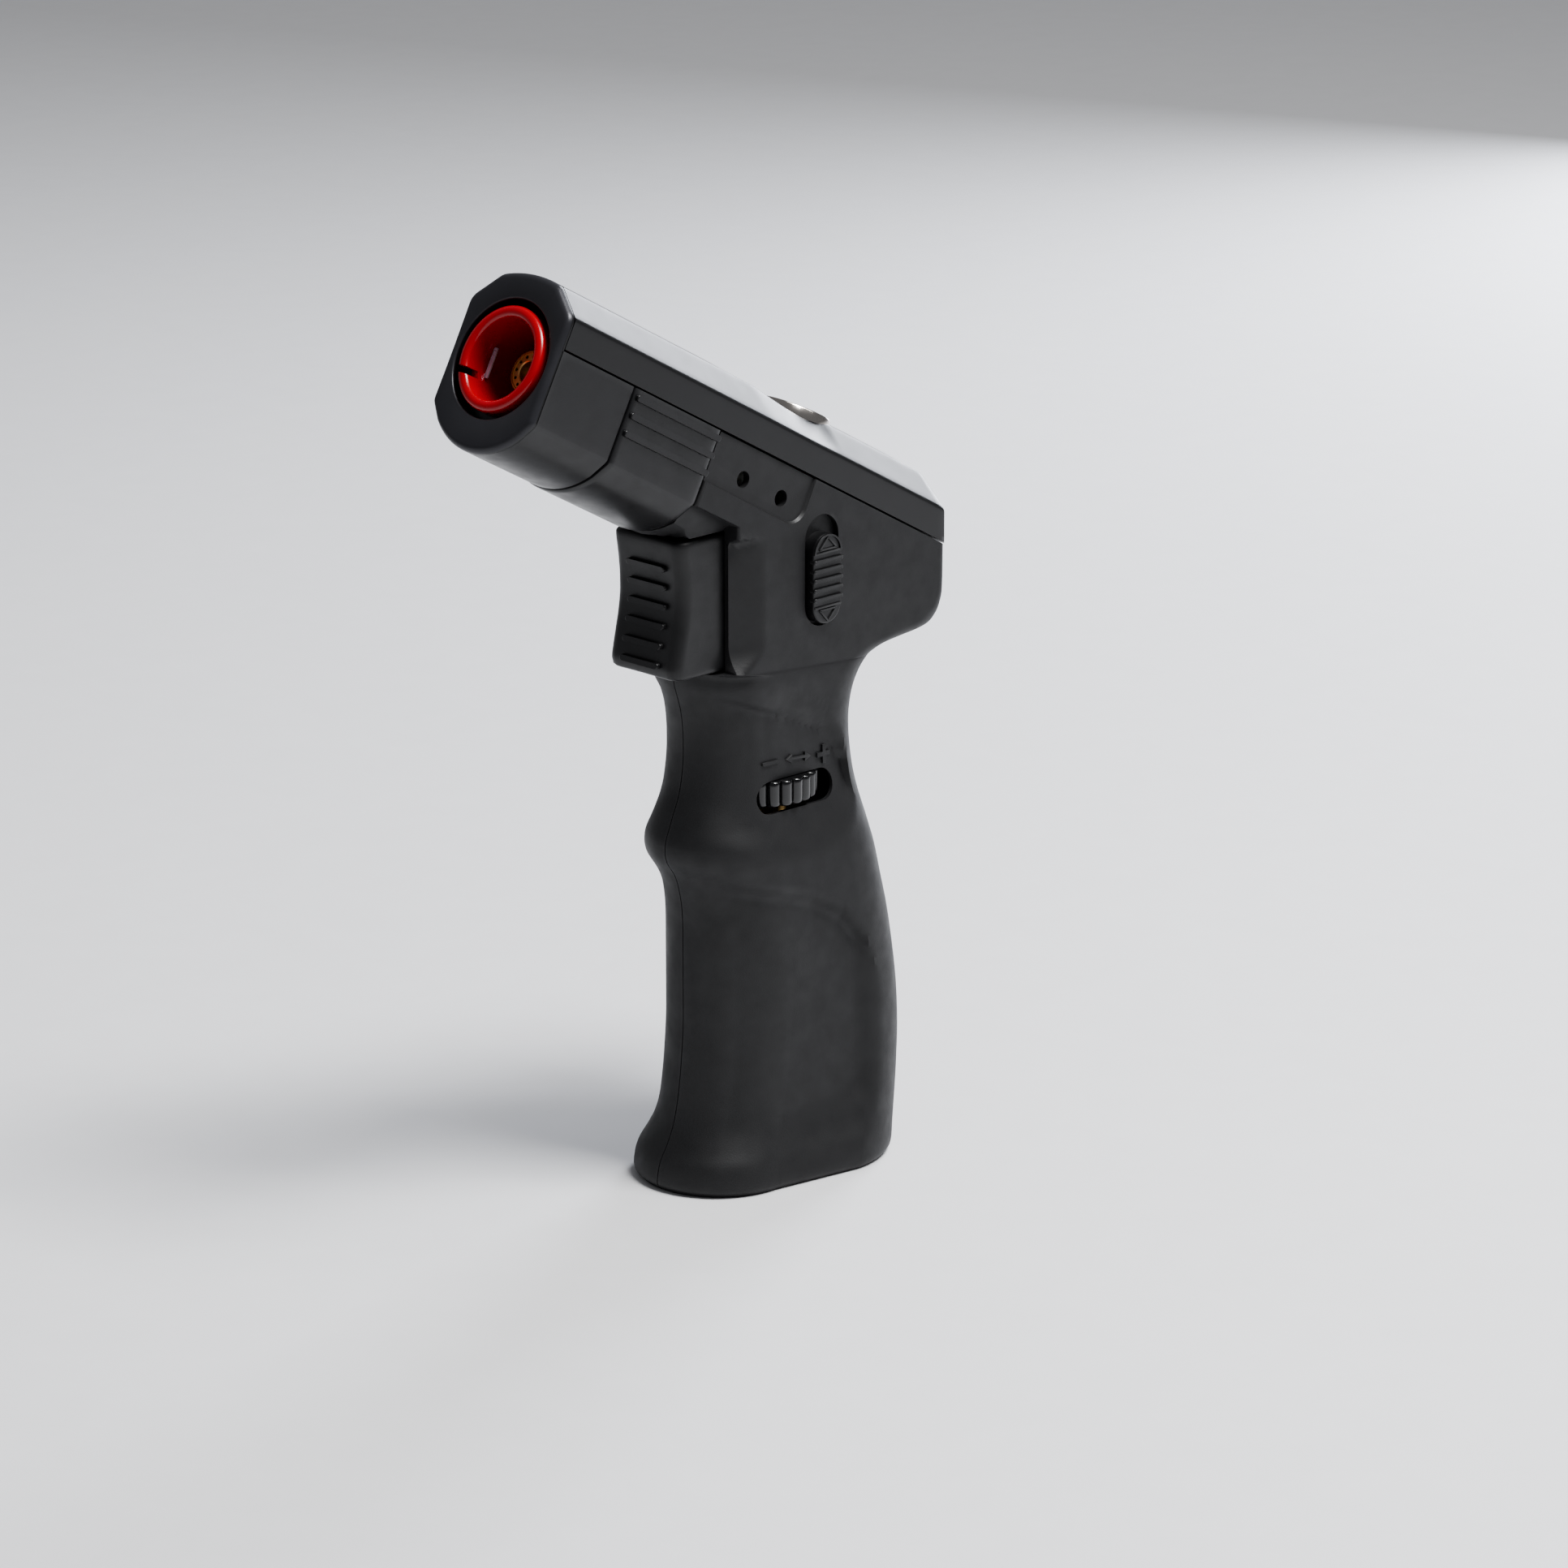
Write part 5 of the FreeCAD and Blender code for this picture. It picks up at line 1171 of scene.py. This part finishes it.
def area_light(name, place, aim, size, power, colour=(1, 1, 1)):
    """A rectangular soft light that looks at its aim."""
    data = bpy.data.lights.new(name, "AREA")
    data.shape = "RECTANGLE"
    data.size, data.size_y = size
    data.energy = power
    data.color = colour
    light = bpy.data.objects.new(name, data)
    light.location = place
    light.rotation_euler = (Vector(aim) - Vector(place)).to_track_quat("-Z", "Y").to_euler()
    bpy.context.scene.collection.objects.link(light)


def build_stage():
    """The floor, the lights and the camera."""
    half = 3.0
    floor = mesh_piece("floor", [(-half, -half, 0), (half, -half, 0), (half, half, 0), (-half, half, 0)],
                       [(0, 1, 2, 3)])
    floor.location.z = -0.00005
    floor.data.materials.append(LOOKS["floor"])
    scene = bpy.context.scene
    backdrop = bpy.data.worlds.new("Studio")
    backdrop.use_nodes = True
    backdrop.node_tree.nodes["Background"].inputs["Color"].default_value = (0.78, 0.79, 0.82, 1)
    backdrop.node_tree.nodes["Background"].inputs["Strength"].default_value = 0.3
    scene.world = backdrop
    middle = (0, 0, 0.08)
    area_light("Key", (0.1, -0.36, 0.85), middle, (0.3, 0.3), 10)
    area_light("Top strip", (0.25, -0.3, 0.8), (0, 0, 0.12), (0.12, 0.9), 2.5)
    area_light("Rim", (0.7, 0.25, 0.35), middle, (0.25, 0.7), 6, (0.9, 0.93, 1.0))
    data = bpy.data.cameras.new("Camera")
    data.lens = 7200 / 1932 * 36
    data.sensor_width = 36
    data.clip_start, data.clip_end = 0.01, 20
    camera = bpy.data.objects.new("Camera", data)
    right = Vector((0.7083, -0.7059, 0.0))
    forward = Vector((0.6747, 0.6770, -0.2940)).normalized()
    right = (right - forward * right.dot(forward)).normalized()
    above = right.cross(forward)
    turn = Matrix((right, above, -forward)).transposed().to_4x4()
    camera.matrix_world = Matrix.Translation(Vector((-0.6104, -0.6159, 0.3276))) @ turn
    scene.collection.objects.link(camera)
    scene.camera = camera
    scene.view_settings.view_transform = "AgX"
    scene.view_settings.look = "AgX - Medium High Contrast"


# ---------------------------------------------------------------- add-on

class TorchSizes(bpy.types.PropertyGroup):
    sign_stand: FloatProperty(name="Sign stand", description="Stand of the signs over the flame wheel",
                              default=0.00034, min=0, max=0.001, unit="LENGTH", precision=5)
    rib_stand: FloatProperty(name="Rib stand", description="Stand of the barrel cover's ribs",
                             default=0.00055, min=0.0002, max=0.001, unit="LENGTH", precision=5)
    bar_stand: FloatProperty(name="Bar stand", description="Stand of the trigger's bars",
                             default=0.0006, min=0.0002, max=0.001, unit="LENGTH", precision=5)
    wheel_radius: FloatProperty(name="Wheel radius", description="Radius of the flame wheel's lobes",
                                default=0.0094, min=0.009, max=0.0102, unit="LENGTH", precision=5)
    wheel_lobes: IntProperty(name="Wheel lobes", description="Lobes round the flame wheel",
                             default=26, min=12, max=40)


class TorchColours(bpy.types.PropertyGroup):
    housing: FloatVectorProperty(name="Housing", description="Colour of the soft-touch housing halves",
                                 subtype="COLOR", default=(0.0075, 0.0075, 0.0083), min=0, max=1)
    slide: FloatVectorProperty(name="Slide", description="Colour of the slide, muzzle and barrel cover",
                               subtype="COLOR", default=(0.0045, 0.0045, 0.0052), min=0, max=1)
    cup: FloatVectorProperty(name="Flame cup", description="Colour of the flame cup",
                             subtype="COLOR", default=(0.36, 0.002, 0.006), min=0, max=1)
    brass: FloatVectorProperty(name="Brass", description="Colour of the burner and valves",
                               subtype="COLOR", default=(0.74, 0.48, 0.2), min=0, max=1)


class TORCH_OT_housing(bpy.types.Operator):
    """Builds the two halves of the housing"""
    bl_idname = "torch.housing"
    bl_label = "Housing halves"

    def execute(self, context):
        for sign in (-1, 1):
            build_housing(sign)
        return {"FINISHED"}


class TORCH_OT_slide(bpy.types.Operator):
    """Builds the slide cover and its badge"""
    bl_idname = "torch.slide"
    bl_label = "Slide and badge"

    def execute(self, context):
        build_slide()
        build_badge()
        return {"FINISHED"}


class TORCH_OT_muzzle(bpy.types.Operator):
    """Builds the muzzle cap, ribbed cover, flame cup and burner"""
    bl_idname = "torch.muzzle"
    bl_label = "Muzzle"

    def execute(self, context):
        build_muzzle_cap()
        build_barrel_cover()
        build_cup()
        build_burner()
        build_electrode()
        return {"FINISHED"}


class TORCH_OT_controls(bpy.types.Operator):
    """Builds the trigger, the safety slider and the flame wheel"""
    bl_idname = "torch.controls"
    bl_label = "Controls"

    def execute(self, context):
        build_trigger()
        build_slider()
        build_wheel()
        return {"FINISHED"}


class TORCH_OT_inner(bpy.types.Operator):
    """Gives the inner pieces their finishes"""
    bl_idname = "torch.inner"
    bl_label = "Inner pieces"

    def execute(self, context):
        finish_inner_pieces()
        return {"FINISHED"}


class TORCH_OT_stage(bpy.types.Operator):
    """Sets up the floor, the lights and the camera"""
    bl_idname = "torch.stage"
    bl_label = "Stage"

    def execute(self, context):
        build_stage()
        return {"FINISHED"}


OPERATORS = (TORCH_OT_housing, TORCH_OT_slide, TORCH_OT_muzzle, TORCH_OT_controls, TORCH_OT_inner,
             TORCH_OT_stage)


class TORCH_PT_panel(bpy.types.Panel):
    """Sidebar panel of the torch"""
    bl_label = "Butane Torch"
    bl_idname = "TORCH_PT_panel"
    bl_space_type = "VIEW_3D"
    bl_region_type = "UI"
    bl_category = "Torch"

    def draw(self, context):
        colours = context.scene.torch_colours
        for name in ("housing", "slide", "cup", "brass"):
            self.layout.prop(colours, name)
        for name in ("sign_stand", "rib_stand", "bar_stand", "wheel_radius", "wheel_lobes"):
            self.layout.prop(context.scene.torch_sizes, name)
        for operator in OPERATORS:
            self.layout.operator(operator.bl_idname)


def register():
    """Makes the classes known and hangs their settings on the scene."""
    for item in (TorchSizes, TorchColours, *OPERATORS, TORCH_PT_panel):
        bpy.utils.register_class(item)
    bpy.types.Scene.torch_sizes = PointerProperty(type=TorchSizes)
    bpy.types.Scene.torch_colours = PointerProperty(type=TorchColours)


def unregister():
    """Takes the settings and the classes away again."""
    del bpy.types.Scene.torch_colours
    del bpy.types.Scene.torch_sizes
    for item in (TORCH_PT_panel, *reversed(OPERATORS), TorchColours, TorchSizes):
        bpy.utils.unregister_class(item)


def main():
    """Builds the whole torch."""
    register()
    LOOKS.update(make_looks())
    for step in (bpy.ops.torch.housing, bpy.ops.torch.slide, bpy.ops.torch.muzzle,
                 bpy.ops.torch.controls, bpy.ops.torch.inner, bpy.ops.torch.stage):
        step()


if __name__ == "__main__":
    main()
